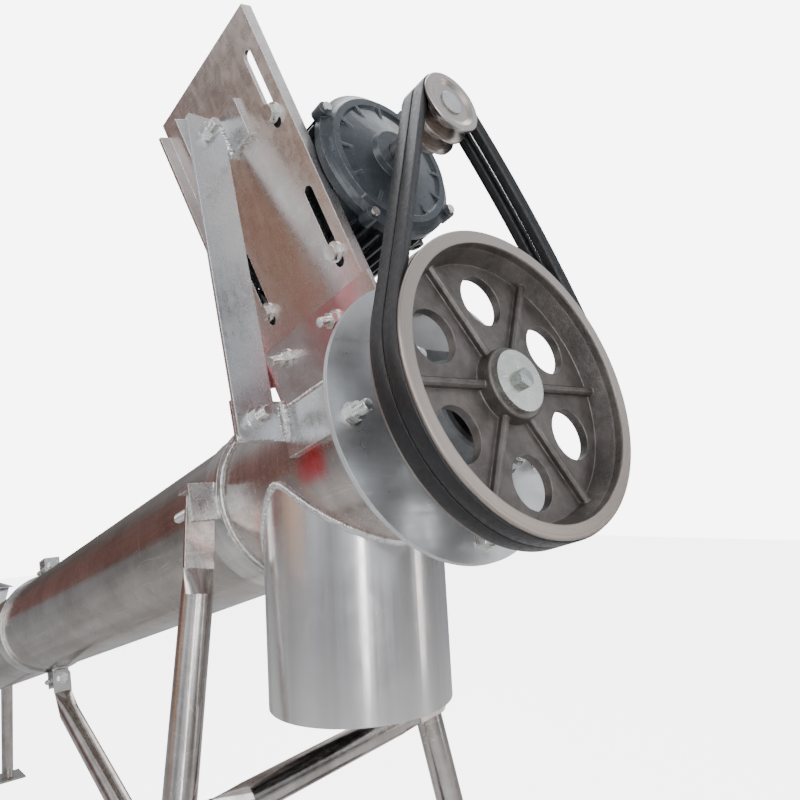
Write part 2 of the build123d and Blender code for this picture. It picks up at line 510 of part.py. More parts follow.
# ---- motor ----
def motor():
    shaft_y, shaft_z = MOTOR_Y, MOTOR_RISE
    front, rear = MOTOR_FRONT, MOTOR_REAR

    def shaft_rod(radius, a0, a1):
        return rod(radius, a0, a1, shaft_y, shaft_z)

    def shaft_turned(points):
        return Pos(0, shaft_y, shaft_z) * turned(points)

    frame = shaft_rod(MOTOR_BODY_R, rear, front)
    foot_side = degrees(atan2(LEAN_OUT.Z, LEAN_OUT.Y))
    for number in range(36):
        angle = foot_side + 10 * number
        if 4 <= number <= 32:
            fin = block((rear + 6, front - 6), (MOTOR_BODY_R - 2, FIN_R), (-1.4, 1.4))
            frame = frame + Pos(0, shaft_y, shaft_z) * Rot(angle, 0, 0) * fin
    feet = []
    for side in (-1, 1):
        up = MOTOR_L + side * FOOT_SPAN / 2
        rail = block((FOOT_FRONT - FOOT_REACH - 18, FOOT_FRONT + 16), (up - 17, up + 15), (PLATE_FAR - 12, PLATE_FAR))
        inner = up - side * 17
        for a in (FOOT_FRONT - 24, FOOT_FRONT - FOOT_REACH + 24):
            outline = Polyline((inner, PLATE_FAR - 2), (up + side * 8, PLATE_FAR - 8),
                               (MOTOR_L + side * 80, MOTOR_N + 24), (MOTOR_L + side * 45, MOTOR_N + 60), close=True)
            web = extrude(Plane(origin=(a - 5, 0, 0), x_dir=(0, 1, 0), z_dir=(1, 0, 0)) * make_face(outline), 10)
            rail = rail + web
        feet.append(rail)
    frame = frame + LEAN * feet[0] + LEAN * feet[1]
    for a, up in foot_points():
        frame = frame - LEAN * Pos(a, up, PLATE_FAR) * Cylinder(BOLT / 2 + 0.5, 60)
        start = LEAN * Pos(a, up, PLATE_NEAR)
        keep("motor_foot_bolts", *fastener(start.position, -LEAN_OUT, PLATE_T + 12, stick=5))
    frame = frame - shaft_rod(MOTOR_BODY_R - 9, rear - 1, front + 1)
    keep("motor_frame", frame)
    keep("motor_stator", shaft_rod(MOTOR_BODY_R - 9.1, rear + 45, front - 45) - shaft_rod(46, rear, front))
    keep("motor_rotor", shaft_rod(45.2, rear + 48, front - 48) - shaft_rod(MOTOR_SHAFT_R + 0.02, rear, front))
    shield = [(front, MOTOR_BODY_R - 12), (front, 96), (front + 11, 96), (front + 13, 92), (front + 16, 88),
              (front + 21, 84), (front + 21, 76), (front + 18, 73), (front + 24, 44), (front + 26, 34),
              (front + 33, 31), (front + 33, MOTOR_SHAFT_R + 0.6), (front + 22, MOTOR_SHAFT_R + 0.6),
              (front + 22, 26.1), (front + 4, 26.1), (front + 4, 36), (front + 10, 72)]
    front_shield = shaft_turned(shield)
    back_shield = Pos(front + rear, 0, 0) * mirror(Pos(0, shaft_y, shaft_z) * turned(shield), Plane.YZ)
    for number in range(4):
        y, z = around(shaft_y, shaft_z, 96, foot_side + 45 + 90 * number)
        front_shield = front_shield + rod(9, front, front + 17, y, z)
        keep("motor_shield_screws", rod(5.5, front + 17.1, front + 22, y, z))
    for number in range(12):
        rib = block((front + 14, front + 21), (45, 78), (-2, 2))
        front_shield = front_shield + Pos(0, shaft_y, shaft_z) * Rot(foot_side + 15 + 30 * number, 0, 0) * rib
    keep("motor_front_shield", front_shield)
    keep("motor_rear_shield", back_shield)
    for a0, a1 in ((front + 6, front + 21), (rear - 21, rear - 6)):
        keep("motor_bearings", pipe(26.0, MOTOR_SHAFT_R + RUNNING, a0, a1, shaft_y, shaft_z))
    fan_a, cowl_end = rear - 52, rear - 84
    shell = shaft_turned([(rear - 12, 97.5), (rear - 12, 99.5), (rear - 70, 99.5), (cowl_end, 84),
                          (cowl_end, 0), (cowl_end + 2, 0), (cowl_end + 2, 83), (rear - 69, 97.5)])
    for ring, count in ((26, 8), (48, 14), (68, 20)):
        for number in range(count):
            y, z = around(shaft_y, shaft_z, ring, 360 / count * number)
            shell = shell - rod(4.5, cowl_end - 3, cowl_end + 6, y, z)
    keep("motor_fan_cowl", shell)
    hub = shaft_rod(22, fan_a - 14, fan_a + 12)
    for number in range(7):
        blade = block((fan_a - 14, fan_a + 12), (20, 86), (-1.5, 1.5))
        hub = hub + Pos(0, shaft_y, shaft_z) * Rot(360 / 7 * number, 0, 0) * blade
    keep("motor_fan", hub - shaft_rod(MOTOR_SHAFT_R - 2 + 0.02, fan_a - 20, fan_a + 20))
    key = block((-42, -6), (shaft_y - 4, shaft_y + 4), (shaft_z + MOTOR_SHAFT_R - 4, shaft_z + MOTOR_SHAFT_R + 3.2))
    shaft = shaft_rod(MOTOR_SHAFT_R, rear - 21, -1) + shaft_rod(MOTOR_SHAFT_R - 2, fan_a - 16, rear - 20)
    keep("motor_shaft", shaft - key)
    keep("motor_key", key)
    small = turned(grooved_rim(SMALL_PULLEY_R) + [(-PULLEY_WIDTH, 30), (-PULLEY_WIDTH - 12, 28),
                                                  (-PULLEY_WIDTH - 12, 0), (-3, 0), (-3, 24), (0, 30)])
    keep("motor_pulley", Pos(0, shaft_y, shaft_z) * small - shaft_rod(MOTOR_SHAFT_R + 0.02, -80, 2) - key)
    top = MOTOR_N - MOTOR_BODY_R
    box = block((-262, -172), (MOTOR_L - 44, MOTOR_L + 44), (top - 46, top - 12))
    box = fillet(box.edges().filter_by(Axis.Z), 8)
    neck = block((-247, -187), (MOTOR_L - 30, MOTOR_L + 30), (top - 13, top + 6)) - Pos(
        0, MOTOR_L, MOTOR_N) * Rot(0, 90, 0) * Cylinder(FIN_R + 0.3, 900)
    keep("terminal_box", LEAN * (box + neck))
    lid = block((-266, -168), (MOTOR_L - 48, MOTOR_L + 48), (top - 52, top - 46.2))
    keep("terminal_lid", LEAN * fillet(lid.edges().filter_by(Axis.Z), 9))
    gland = LEAN * Pos(-217, MOTOR_L - 44 - 9, top - 29) * Rot(90, 0, 0) * (Cylinder(11, 18) - Cylinder(6, 30))
    keep("terminal_box", gland)


# ---- V-belts ----
def belts():
    """Two open V-belts round the pulleys, each a trapezoid swept round arcs and straight runs."""
    middle = Vector(MOTOR_Y, MOTOR_RISE)
    reach = middle.length
    along, across = middle / reach, Vector(-middle.Y / reach, middle.X / reach)
    wrap = asin((PULLEY_R - SMALL_PULLEY_R) / reach)
    touch = [along * sin(wrap) + across * side * cos(wrap) for side in (1, -1)]
    plane = Plane(origin=(0, 0, 0), x_dir=(0, 1, 0), z_dir=(1, 0, 0))
    big = [t * PULLEY_R for t in touch]
    small = [middle + t * SMALL_PULLEY_R for t in touch]
    far_big, far_small = -along * PULLEY_R, middle + along * SMALL_PULLEY_R
    loop = Wire([Line(big[0], small[0]), ThreePointArc(small[0], far_small, small[1]),
                 Line(small[1], big[1]), ThreePointArc(big[1], far_big, big[0])])
    slope = tan(radians(GROOVE_ANGLE / 2))
    top = GROOVE_TOP / 2 + BELT_PROUD * slope - BELT_GAP
    foot = top - BELT_HEIGHT * slope
    for a in (-GROOVE_EDGE, -GROOVE_EDGE - GROOVE_PITCH):
        path = Pos(a, 0, 0) * plane.location * loop
        out = Vector(0, touch[0].X, touch[0].Y)
        section = Plane(origin=path @ 0, x_dir=(1, 0, 0), z_dir=Vector(1, 0, 0).cross(out))
        low = BELT_PROUD - BELT_HEIGHT
        outline = make_face(Polyline((-top, BELT_PROUD), (top, BELT_PROUD), (foot, low), (-foot, low), close=True))
        keep("drive_belts", sweep(section * outline, path=path))


# ---- hopper and tail ----
def hopper():
    def frustum(inset):
        low = Pos(THROAT_A, 0, THROAT_RISE) * Rectangle(THROAT_LONG - 2 * inset, THROAT_WIDE - 2 * inset)
        high = Pos(THROAT_A - HOPPER_BACK, 0, HOPPER_RISE) * Rot(0, TUBE_RISE, 0) * Rectangle(
            HOPPER_LONG - 2 * inset, HOPPER_WIDE - 2 * inset)
        return low, high

    outer, inner = frustum(0), frustum(HOPPER_WALL)
    flare = loft(list(outer), ruled=True) - loft(list(inner), ruled=True)
    half_long, half_wide = THROAT_LONG / 2, THROAT_WIDE / 2
    throat = block((THROAT_A - half_long, THROAT_A + half_long), (-half_wide, half_wide), (40, THROAT_RISE))
    throat = throat - block((THROAT_A - half_long + HOPPER_WALL, THROAT_A + half_long - HOPPER_WALL),
                            (HOPPER_WALL - half_wide, half_wide - HOPPER_WALL), (30, THROAT_RISE + 10))
    throat = throat - rod(TUBE_R + SEAT, THROAT_A - 400, THROAT_A + 400)
    rim_place = Pos(THROAT_A - HOPPER_BACK, 0, HOPPER_RISE) * Rot(0, TUBE_RISE, 0)
    rim = extrude(Rectangle(HOPPER_LONG + 2 * HOPPER_LIP, HOPPER_WIDE + 2 * HOPPER_LIP) - Rectangle(
        HOPPER_LONG - 2 * HOPPER_WALL, HOPPER_WIDE - 2 * HOPPER_WALL), HOPPER_WALL)
    keep("feed_hopper", flare + throat + rim_place * rim)
    tail_plate = pipe(TAIL_PLATE_R, SHAFT_R + 8, TAIL - TAIL_PLATE_T, TAIL) - housing_bolt_holes(TAIL)
    keep("tail_plate", tail_plate)
    flange_bearing(TAIL - TAIL_PLATE_T, -1, TAIL_PLATE_T)


# ---- legs, axle and wheels, in the level frame ----
def level(point):
    """A tube-frame point in the level frame."""
    return (TILT * Pos(*point)).position


def undercarriage():
    hole = BOLT / 2 + 0.5
    axle = Vector(AXLE_X, 0, -AXLE_DROP)
    for side, name in ((-1, "leg_near"), (1, "leg_far")):
        top, foot = leg_line(side)
        lean = Vector(0, side * (HALF_TRACK - STUD_REACH) / (top.Z - foot.Z), 0)
        leg = flat_ended_tube([(top, TUBE_AXIS, TUBE_DOWN + lean), (foot, None, None)], LEG_R, LEG_WALL, hole,
                              LEG_TAB, LEG_RUN_IN)
        tie_point, out = tie_seat(side)
        leg = leg - bar(tie_point - out * 60, tie_point + out * 60, hole)
        keep_level(name, leg - bar(axle - Vector(0, 400, 0), axle + Vector(0, 400, 0), AXLE_TUBE_R + SEAT))
    offset = LEG_R + LEG_WALL + 0.3
    seats = [tie_seat(side) for side in (-1, 1)]
    points = [point + out * offset for point, out in seats]
    run = points[1] - points[0]
    for (point, out), seat in zip(seats, points):
        grip = 2 * LEG_R + 2 * LEG_WALL + 0.6
        keep_level("frame_bolts", *fastener(point - out * (LEG_R + 0.3), out, grip, stick=5))
    normals = [(out - run * (out.dot(run) / run.dot(run))).normalized() for point, out in seats]
    keep_level("cross_tie", flat_ended_tube([(points[0], normals[0], run), (points[1], normals[1], -run)],
                                            LEG_R, LEG_WALL, hole))
    strut_top = level((EAR_REAR + LEG_WALL, 0, -STUD_REACH))
    strut = flat_ended_tube([(strut_top, TUBE_AXIS, TUBE_DOWN), (axle, None, None)],
                            LEG_R + 2, LEG_WALL, hole, 30.0, 60.0)
    keep_level("rear_strut", strut - bar(axle - Vector(0, 90, 0), axle + Vector(0, 90, 0), AXLE_TUBE_R + SEAT))
    inner = HALF_TRACK + 24
    wheel_in, wheel_out = HALF_TRACK + WHEEL_OUT - WHEEL_WIDTH / 2, HALF_TRACK + WHEEL_OUT + WHEEL_WIDTH / 2

    def cross(radius, y0, y1):
        return bar(axle + Vector(0, y0, 0), axle + Vector(0, y1, 0), radius)

    keep_level("axle_tube", cross(AXLE_TUBE_R, -inner, inner) - cross(AXLE_R + SEAT, -inner - 1, inner + 1))
    end = wheel_out + 24
    pin_y = wheel_out + 14
    axle_bar = cross(AXLE_R, -end, end)
    for side, word in ((-1, "near"), (1, "far")):
        pin_at = axle + Vector(0, side * pin_y, 0)
        pin = bar(pin_at - Vector(0, 0, 19), pin_at + Vector(0, 0, 19), 2.5)
        axle_bar = axle_bar - bar(pin_at - Vector(0, 0, 40), pin_at + Vector(0, 0, 40), 2.6)
        keep_level("axle_pins", pin)
        for y0, y1 in ((inner + 0.3, wheel_in - 1.2), (wheel_out + 1.2, wheel_out + 10)):
            keep_level("axle_collars", cross(19, side * y0, side * y1) - cross(AXLE_R + SEAT, -end, end))
        keep_level("wheel_tyre_" + word, wheel_turned(axle, side, tyre_outline()))
        hub = wheel_turned(axle, side, rim_outline())
        for number in range(5):
            spot = Plane(origin=axle + Vector(0, side * (HALF_TRACK + WHEEL_OUT), 0), z_dir=(0, 1, 0)).location
            hub = hub - spot * Rot(0, 0, 72 * number) * Pos(54, 0, 0) * Cylinder(14, 60)
        keep_level("wheel_rim_" + word, hub)
    keep_level("axle_shaft", axle_bar)


def leg_line(side):
    """Top and foot of a leg's round run."""
    top = level((EAR_FRONT - EAR_T - LEG_WALL, side * STUD_REACH, 0))
    return top, Vector(AXLE_X, side * HALF_TRACK, -AXLE_DROP)


def tie_seat(side):
    """Point on a leg's axis where the cross tie is bolted, low on the near leg and higher on the far
    one, and the direction out of the leg's front."""
    top, foot = leg_line(side)
    down = Vector(UP_X, side * (HALF_TRACK - STUD_REACH) / (top.Z - foot.Z), -UP_Z).normalized()
    onward = (foot - top).normalized()
    mouth = top + down * LEG_TAB + (down + onward * 2).normalized() * LEG_RUN_IN
    drop = TIE_DROP - (TIE_RISE if side > 0 else 0)
    run = foot - mouth
    out = Vector(0, 1, 0).cross(run).normalized()
    if out.X < 0:
        out = -out
    return mouth + run * ((top.Z - drop - mouth.Z) / run.Z), out


def wheel_turned(axle, side, outline):
    """Body of revolution about the axle, from (outward, radius) points about the wheel's middle."""
    body = revolve(Plane.XY * make_face(outline), Axis.X)
    return Pos(*(axle + Vector(0, side * (HALF_TRACK + WHEEL_OUT), 0))) * Rot(0, 0, 90) * body


def tyre_outline():
    half = WHEEL_WIDTH / 2
    return Polyline((-half + 8, RIM_R + 0.3), (-half, RIM_R + 14), (-half, WHEEL_R - 20), (-half + 6, WHEEL_R - 7),
                    (-half + 16, WHEEL_R), (half - 16, WHEEL_R), (half - 6, WHEEL_R - 7), (half, WHEEL_R - 20),
                    (half, RIM_R + 14), (half - 8, RIM_R + 0.3), close=True)


def rim_outline():
    half, bore = WHEEL_WIDTH / 2, AXLE_R + RUNNING
    return Polyline((-half, bore), (-half, 22), (-4, 24), (-4, RIM_R - 8), (-half + 4, RIM_R - 5), (-half + 4, RIM_R),
                    (half - 4, RIM_R), (half - 4, RIM_R - 5), (4, RIM_R - 8), (4, 24), (half, 22), (half, bore),
                    close=True)


def tail_stand():
    tab_a = STAND_A - EAR_T - LEG_WALL
    for side in (-1, 1):
        top = level((tab_a, side * STUD_REACH, 0))
        foot = Vector(top.X - STAND_REACH, side * STAND_SPREAD, GROUND + FOOT_T)
        lean = Vector(0, side * (STAND_SPREAD - STUD_REACH) / (top.Z - foot.Z), 0)
        leg = flat_ended_tube([(top, TUBE_AXIS, TUBE_DOWN + lean), (foot, None, None)], LEG_R, LEG_WALL,
                              BOLT / 2 + 0.5)
        keep_level("stand_legs", leg - Pos(foot.X, foot.Y, foot.Z - 50) * Box(200, 200, 100))
        keep_level("stand_feet", Pos(foot.X, foot.Y, GROUND + FOOT_T / 2) * Box(FOOT, FOOT, FOOT_T))


head_section()
flange_bearing(DISC_FACE, 1, SHEET)
tube_sections()
screw()
motor_plate()
saddle()
brace()
motor()
belts()
hopper()
undercarriage()
tail_stand()

box = Compound([solid for group in nodes.values() for solid in group]).bounding_box()
SET_DOWN = Pos(-(box.min.X + box.max.X) / 2, 0, -GROUND)

os.makedirs("parts", exist_ok=True)
for name, group in nodes.items():
    placed = [SET_DOWN * solid for solid in group]
    export_step(placed[0] if len(placed) == 1 else Compound(children=placed), f"parts/{name}.step")
print(len(nodes), "nodes; tube-frame origin at", (SET_DOWN * TILT).position)
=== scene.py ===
"""Looks of the portable tube auger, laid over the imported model."""
import json
import random
from math import atan2, cos, pi, radians, sin, sqrt

import bpy
from mathutils import Matrix, Vector


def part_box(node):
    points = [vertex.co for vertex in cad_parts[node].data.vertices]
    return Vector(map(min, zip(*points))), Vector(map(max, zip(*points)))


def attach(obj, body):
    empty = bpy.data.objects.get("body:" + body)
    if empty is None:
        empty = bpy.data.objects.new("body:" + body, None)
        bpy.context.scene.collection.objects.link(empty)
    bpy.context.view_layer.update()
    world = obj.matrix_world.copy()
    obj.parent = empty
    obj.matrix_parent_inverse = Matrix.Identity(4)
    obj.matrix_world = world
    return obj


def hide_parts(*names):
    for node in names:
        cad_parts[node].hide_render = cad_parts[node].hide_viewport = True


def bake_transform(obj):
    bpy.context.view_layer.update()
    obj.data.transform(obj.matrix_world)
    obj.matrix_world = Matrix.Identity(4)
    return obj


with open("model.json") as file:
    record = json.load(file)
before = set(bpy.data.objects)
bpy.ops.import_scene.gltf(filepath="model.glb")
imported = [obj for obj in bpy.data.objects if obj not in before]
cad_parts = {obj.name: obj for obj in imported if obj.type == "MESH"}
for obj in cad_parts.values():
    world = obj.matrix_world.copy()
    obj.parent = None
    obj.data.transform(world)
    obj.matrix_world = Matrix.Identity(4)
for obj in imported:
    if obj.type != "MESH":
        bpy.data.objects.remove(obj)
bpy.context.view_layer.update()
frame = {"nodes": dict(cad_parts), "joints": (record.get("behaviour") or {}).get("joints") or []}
node = frame["nodes"]

# ---- the studio: where the machine stands to be looked at ----
# A pale floor under a wide white surround, with soft boxes over and around the head, and a hall
# with one bright, one amber and one red side for bare metal to mirror.
screw_joint = next(j for j in frame["joints"] if j["name"] == "screw_spin")
TUBE_ORIGIN = Vector(screw_joint["pos_m"])
camera_data = bpy.data.cameras.new("camera")
camera_data.lens = 32.43
camera_data.sensor_width = 36.0
camera = bpy.data.objects.new("camera", camera_data)
right = Vector((0.6612, 0.748, -0.0556))
up = Vector((0.1179, -0.030, 0.9926))
back = Vector((0.7409, -0.663, -0.1083))
eye = TUBE_ORIGIN + Vector((0.4236, -0.5447, -0.0898))
camera.matrix_world = Matrix.Translation(eye) @ Matrix((right, up, back)).transposed().to_4x4()
bpy.context.scene.collection.objects.link(camera)
bpy.context.scene.camera = camera


def put(tree, kind, inputs=None, **settings):
    """Place a shader node, set it, and set or link its inputs."""
    made = tree.nodes.new(kind)
    for key, value in settings.items():
        setattr(made, key, value)
    for key, value in (inputs or {}).items():
        if isinstance(value, bpy.types.NodeSocket):
            tree.links.new(value, made.inputs[key])
        else:
            made.inputs[key].default_value = value
    return made


def maths(tree, operation, *values):
    return put(tree, "ShaderNodeMath", dict(enumerate(values)), operation=operation).outputs[0]


def rise(tree, value, low, high):
    """0 below low, 1 above high, smooth between; low may be the larger."""
    made = put(tree, "ShaderNodeMapRange", {"Value": value, "From Min": low, "From Max": high},
               interpolation_type="SMOOTHSTEP")
    return made.outputs[0]


def soft_box(name, place, wide, high, power, tint=(1, 1, 1)):
    light = bpy.data.lights.new(name, "AREA")
    light.shape, light.size, light.size_y, light.energy, light.color = "RECTANGLE", wide, high, power, tint
    lamp = bpy.data.objects.new(name, light)
    lamp.location = HEAD_POINT + Vector(place)
    lamp.rotation_euler = (-Vector(place)).to_track_quat("-Z", "Y").to_euler()
    lamp.visible_camera = False
    bpy.context.scene.collection.objects.link(lamp)


HEAD_POINT = TUBE_ORIGIN + Vector((-0.26, 0.0, 0.04))
soft_box("box_left", (-0.3, -2.4, 1.15), 1.6, 1.2, 20, (1.0, 0.98, 0.95))
soft_box("box_front", (2.2, -0.4, 0.75), 0.9, 1.8, 15)
soft_box("box_over", (-0.6, 0.6, 2.05), 2.4, 1.4, 34, (0.96, 0.98, 1.0))
soft_box("strip_right", (1.9, 1.9, 0.1), 0.35, 2.2, 6, (1.0, 0.96, 0.92))
soft_box("strip_front", (2.25, -1.3, -0.1), 0.14, 1.8, 9, (0.97, 0.99, 1.0))
soft_box("box_behind", (-2.4, 2.2, 0.65), 1.4, 1.6, 16, (1.0, 0.97, 0.93))

world = bpy.data.worlds.new("surround")
bpy.context.scene.world = world
world.use_nodes = True
sky = world.node_tree
sky.nodes.clear()
way = put(sky, "ShaderNodeTexCoord").outputs["Generated"]
split = put(sky, "ShaderNodeSeparateXYZ", {0: way})
ramp = put(sky, "ShaderNodeValToRGB", {0: maths(sky, "MULTIPLY_ADD", split.outputs[2], 0.5, 0.5)})
stops = ramp.color_ramp.elements
stops[0].position, stops[0].color = 0.0, (0.30, 0.29, 0.29, 1)
stops[1].position, stops[1].color = 1.0, (1.0, 1.0, 1.0, 1)
for position, colour in ((0.40, (0.26, 0.24, 0.23)), (0.50, (0.13, 0.115, 0.105)), (0.60, (0.24, 0.225, 0.22)),
                         (0.76, (0.80, 0.81, 0.86))):
    stops.new(position).color = (*colour, 1)
blobs = put(sky, "ShaderNodeTexNoise", {"Vector": way, "Scale": 1.7, "Detail": 1.2, "Roughness": 0.4})
lumpy = put(sky, "ShaderNodeMapRange", {0: blobs.outputs[0], 1: 0.36, 2: 0.66, 3: 0.55, 4: 1.45})


def towards(heading):
    """How far a direction lies towards a heading, -1 to 1."""
    return put(sky, "ShaderNodeVectorMath", {0: way, 1: Vector(heading).normalized()},
               operation="DOT_PRODUCT").outputs["Value"]


open_side = rise(sky, towards((0.66, -0.72, 0.1)), 0.1, 0.75)
lit_side = put(sky, "ShaderNodeMix", {0: maths(sky, "MULTIPLY", open_side, 0.8), 6: ramp.outputs[0],
                                      7: (0.86, 0.90, 0.96, 1)}, data_type="RGBA")
far_side = maths(sky, "MULTIPLY", rise(sky, towards((0.50, 0.80, 0.42)), 0.5, 0.9),
                 rise(sky, split.outputs[2], 0.05, 0.3))
hall = put(sky, "ShaderNodeMix", {0: maths(sky, "MULTIPLY", far_side, 0.75), 6: lit_side.outputs[2],
                                  7: (0.72, 0.78, 0.84, 1)}, data_type="RGBA")
mirrored = put(sky, "ShaderNodeVectorMath", {0: hall.outputs[2], 3: lumpy.outputs[0]}, operation="SCALE")
level_band = maths(sky, "MULTIPLY", rise(sky, split.outputs[2], -0.5, -0.2),
                   rise(sky, split.outputs[2], 0.6, 0.3))
red_side = maths(sky, "MULTIPLY", rise(sky, towards((-0.92, -0.38, 0.0)), 0.90, 0.975), level_band)
amber_side = maths(sky, "MULTIPLY", rise(sky, towards((-0.46, -0.88, -0.05)), 0.93, 0.985), level_band)
red_shop = put(sky, "ShaderNodeMix", {0: maths(sky, "MULTIPLY", red_side, 0.7), 6: mirrored.outputs[0],
                                      7: (0.33, 0.165, 0.15, 1)}, data_type="RGBA")
amber_shop = put(sky, "ShaderNodeMix", {0: maths(sky, "MULTIPLY", amber_side, 0.7), 6: red_shop.outputs[2],
                                        7: (0.80, 0.52, 0.37, 1)}, data_type="RGBA")
seen = put(sky, "ShaderNodeLightPath")
plain = put(sky, "ShaderNodeBackground", {"Color": (1, 1, 1, 1), "Strength": 7.0})
studio = put(sky, "ShaderNodeBackground", {"Color": amber_shop.outputs[2], "Strength": 1.0})
fill = put(sky, "ShaderNodeBackground", {"Color": (0.93, 0.95, 1.0, 1), "Strength": 0.34})
gloss = put(sky, "ShaderNodeMixShader", {0: seen.outputs["Is Glossy Ray"], 1: fill.outputs[0],
                                         2: studio.outputs[0]})
both = put(sky, "ShaderNodeMixShader", {0: seen.outputs["Is Camera Ray"], 1: gloss.outputs[0],
                                        2: plain.outputs[0]})
put(sky, "ShaderNodeOutputWorld", {0: both.outputs[0]})


def mesh_piece(name, points, faces, material, smooth=True):
    """A mesh object in the row frame, from its points and faces."""
    mesh = bpy.data.meshes.new(name)
    mesh.from_pydata([tuple(p) for p in points], [], faces)
    mesh.validate()
    mesh.shade_smooth() if smooth else mesh.shade_flat()
    piece = bpy.data.objects.new(name, mesh)
    bpy.context.scene.collection.objects.link(piece)
    if material:
        mesh.materials.append(material)
    return piece


FLOOR_REACH = 9.0
FLOOR_BELOW = 0.0008
floor_paint = bpy.data.materials.new("floor_paint")
floor_paint.use_nodes = True
floor_tree = floor_paint.node_tree
floor_shader = floor_tree.nodes["Principled BSDF"]
floor_shader.inputs["Base Color"].default_value = (0.93, 0.93, 0.93, 1)
floor_shader.inputs["Roughness"].default_value = 0.75
seen_straight = put(floor_tree, "ShaderNodeLightPath").outputs["Is Camera Ray"]
glow = put(floor_tree, "ShaderNodeEmission", {"Color": (1, 1, 1, 1), "Strength": 5.0})
lit = put(floor_tree, "ShaderNodeAddShader", {0: glow.outputs[0], 1: floor_shader.outputs[0]})
floor_mix = put(floor_tree, "ShaderNodeMixShader", {0: seen_straight, 1: floor_shader.outputs[0], 2: lit.outputs[0]})
floor_tree.links.new(floor_mix.outputs[0], floor_tree.nodes["Material Output"].inputs[0])
floor = mesh_piece("floor", [(x * FLOOR_REACH, y * FLOOR_REACH, -FLOOR_BELOW)
                             for x, y in ((-1, -1), (1, -1), (1, 1), (-1, 1))],
                   [(0, 1, 2, 3)], floor_paint, smooth=False)

# ---- main tube and intake tube ----
# 219 mm tube of 3 mm stainless sheet, rolled, welded along its length and machine polished,
# with a clouded, brownish mirror finish and the marks of handling.
MM = 0.001
TUBE_RISE = atan2(screw_joint["axis"][2], screw_joint["axis"][0])
TUBE_FRAME = Matrix.Translation(TUBE_ORIGIN) @ Matrix.Rotation(-TUBE_RISE, 4, "Y")
TUBE_TURN = TUBE_FRAME.to_3x3()
TUBE_R = 109.5


def at(along, far, high):
    """Row-frame point of (along the tube, far side, across the tube), millimetres."""
    return TUBE_FRAME @ Vector((along * MM, far * MM, high * MM))


def group(name, inputs, outputs):
    """Start a shader node group with named inputs and outputs."""
    tree = bpy.data.node_groups.new(name, "ShaderNodeTree")
    for label, kind, value in inputs:
        made = tree.interface.new_socket(name=label, in_out="INPUT", socket_type="NodeSocket" + kind)
        if value is not None:
            made.default_value = value
    for label, kind in outputs:
        tree.interface.new_socket(name=label, in_out="OUTPUT", socket_type="NodeSocket" + kind)
    return tree, tree.nodes.new("NodeGroupInput").outputs


def noise(tree, vector, scale, detail=4.0, rough=0.55, distortion=0.0):
    made = put(tree, "ShaderNodeTexNoise", {"Vector": vector, "Scale": scale, "Detail": detail, "Roughness": rough,
                                            "Distortion": distortion})
    return made.outputs[0]


# brushing: fine lines drawn along one direction, with a coarser set under them
brushing, given = group("brushing", [("Vector", "Vector", None), ("Stretch", "Vector", (1, 1, 1)),
                                     ("Lines", "Float", 400.0)], [("Lines", "Float"), ("Streaks", "Float")])
pulled = put(brushing, "ShaderNodeVectorMath", {0: given["Vector"], 1: given["Stretch"]}, operation="MULTIPLY")
fine = noise(brushing, pulled.outputs[0], given["Lines"], 2.0, 0.5)
broad = noise(brushing, pulled.outputs[0], maths(brushing, "MULTIPLY", given["Lines"], 0.14), 2.0, 0.5)
put(brushing, "NodeGroupOutput", {"Lines": rise(brushing, fine, 0.3, 0.7),
                                  "Streaks": rise(brushing, broad, 0.32, 0.68)})

# clouding: soft patches, small smudges and pin specks of a handled surface
clouding, given = group("clouding", [("Vector", "Vector", None), ("Size", "Float", 0.06)],
                        [("Patches", "Float"), ("Smudges", "Float"), ("Specks", "Float")])
per_size = maths(clouding, "DIVIDE", 1.0, given["Size"])
patch = noise(clouding, given["Vector"], per_size, 4.0, 0.6, 0.2)
smudge = noise(clouding, given["Vector"], maths(clouding, "MULTIPLY", per_size, 4.3), 4.0, 0.6, 0.3)
speck = noise(clouding, given["Vector"], maths(clouding, "MULTIPLY", per_size, 38.0), 2.0, 0.5)
put(clouding, "NodeGroupOutput", {"Patches": rise(clouding, patch, 0.30, 0.70),
                                  "Smudges": rise(clouding, smudge, 0.36, 0.74),
                                  "Specks": rise(clouding, speck, 0.64, 0.74)})

# scratching: sparse hairline scratches in three directions
scratching, given = group("scratching", [("Vector", "Vector", None), ("Density", "Float", 60.0)],
                          [("Scratches", "Float")])
marks = []
for turn, pull in (((0.3, 0.2, 0.5), (0.06, 1.0, 1.0)), ((1.1, 0.7, 2.1), (1.0, 0.07, 1.0)),
                   ((2.0, 1.4, 0.9), (1.0, 1.0, 0.05))):
    turned_by = put(scratching, "ShaderNodeMapping", {"Vector": given["Vector"], "Rotation": turn, "Scale": pull})
    line = noise(scratching, turned_by.outputs[0], given["Density"], 2.0, 0.4, 0.3)
    from_line = maths(scratching, "ABSOLUTE", maths(scratching, "SUBTRACT", line, 0.56))
    marks.append(rise(scratching, from_line, 0.006, 0.0))
first_two = maths(scratching, "MAXIMUM", *marks[:2])
put(scratching, "NodeGroupOutput", {"Scratches": maths(scratching, "MAXIMUM", first_two, marks[2])})

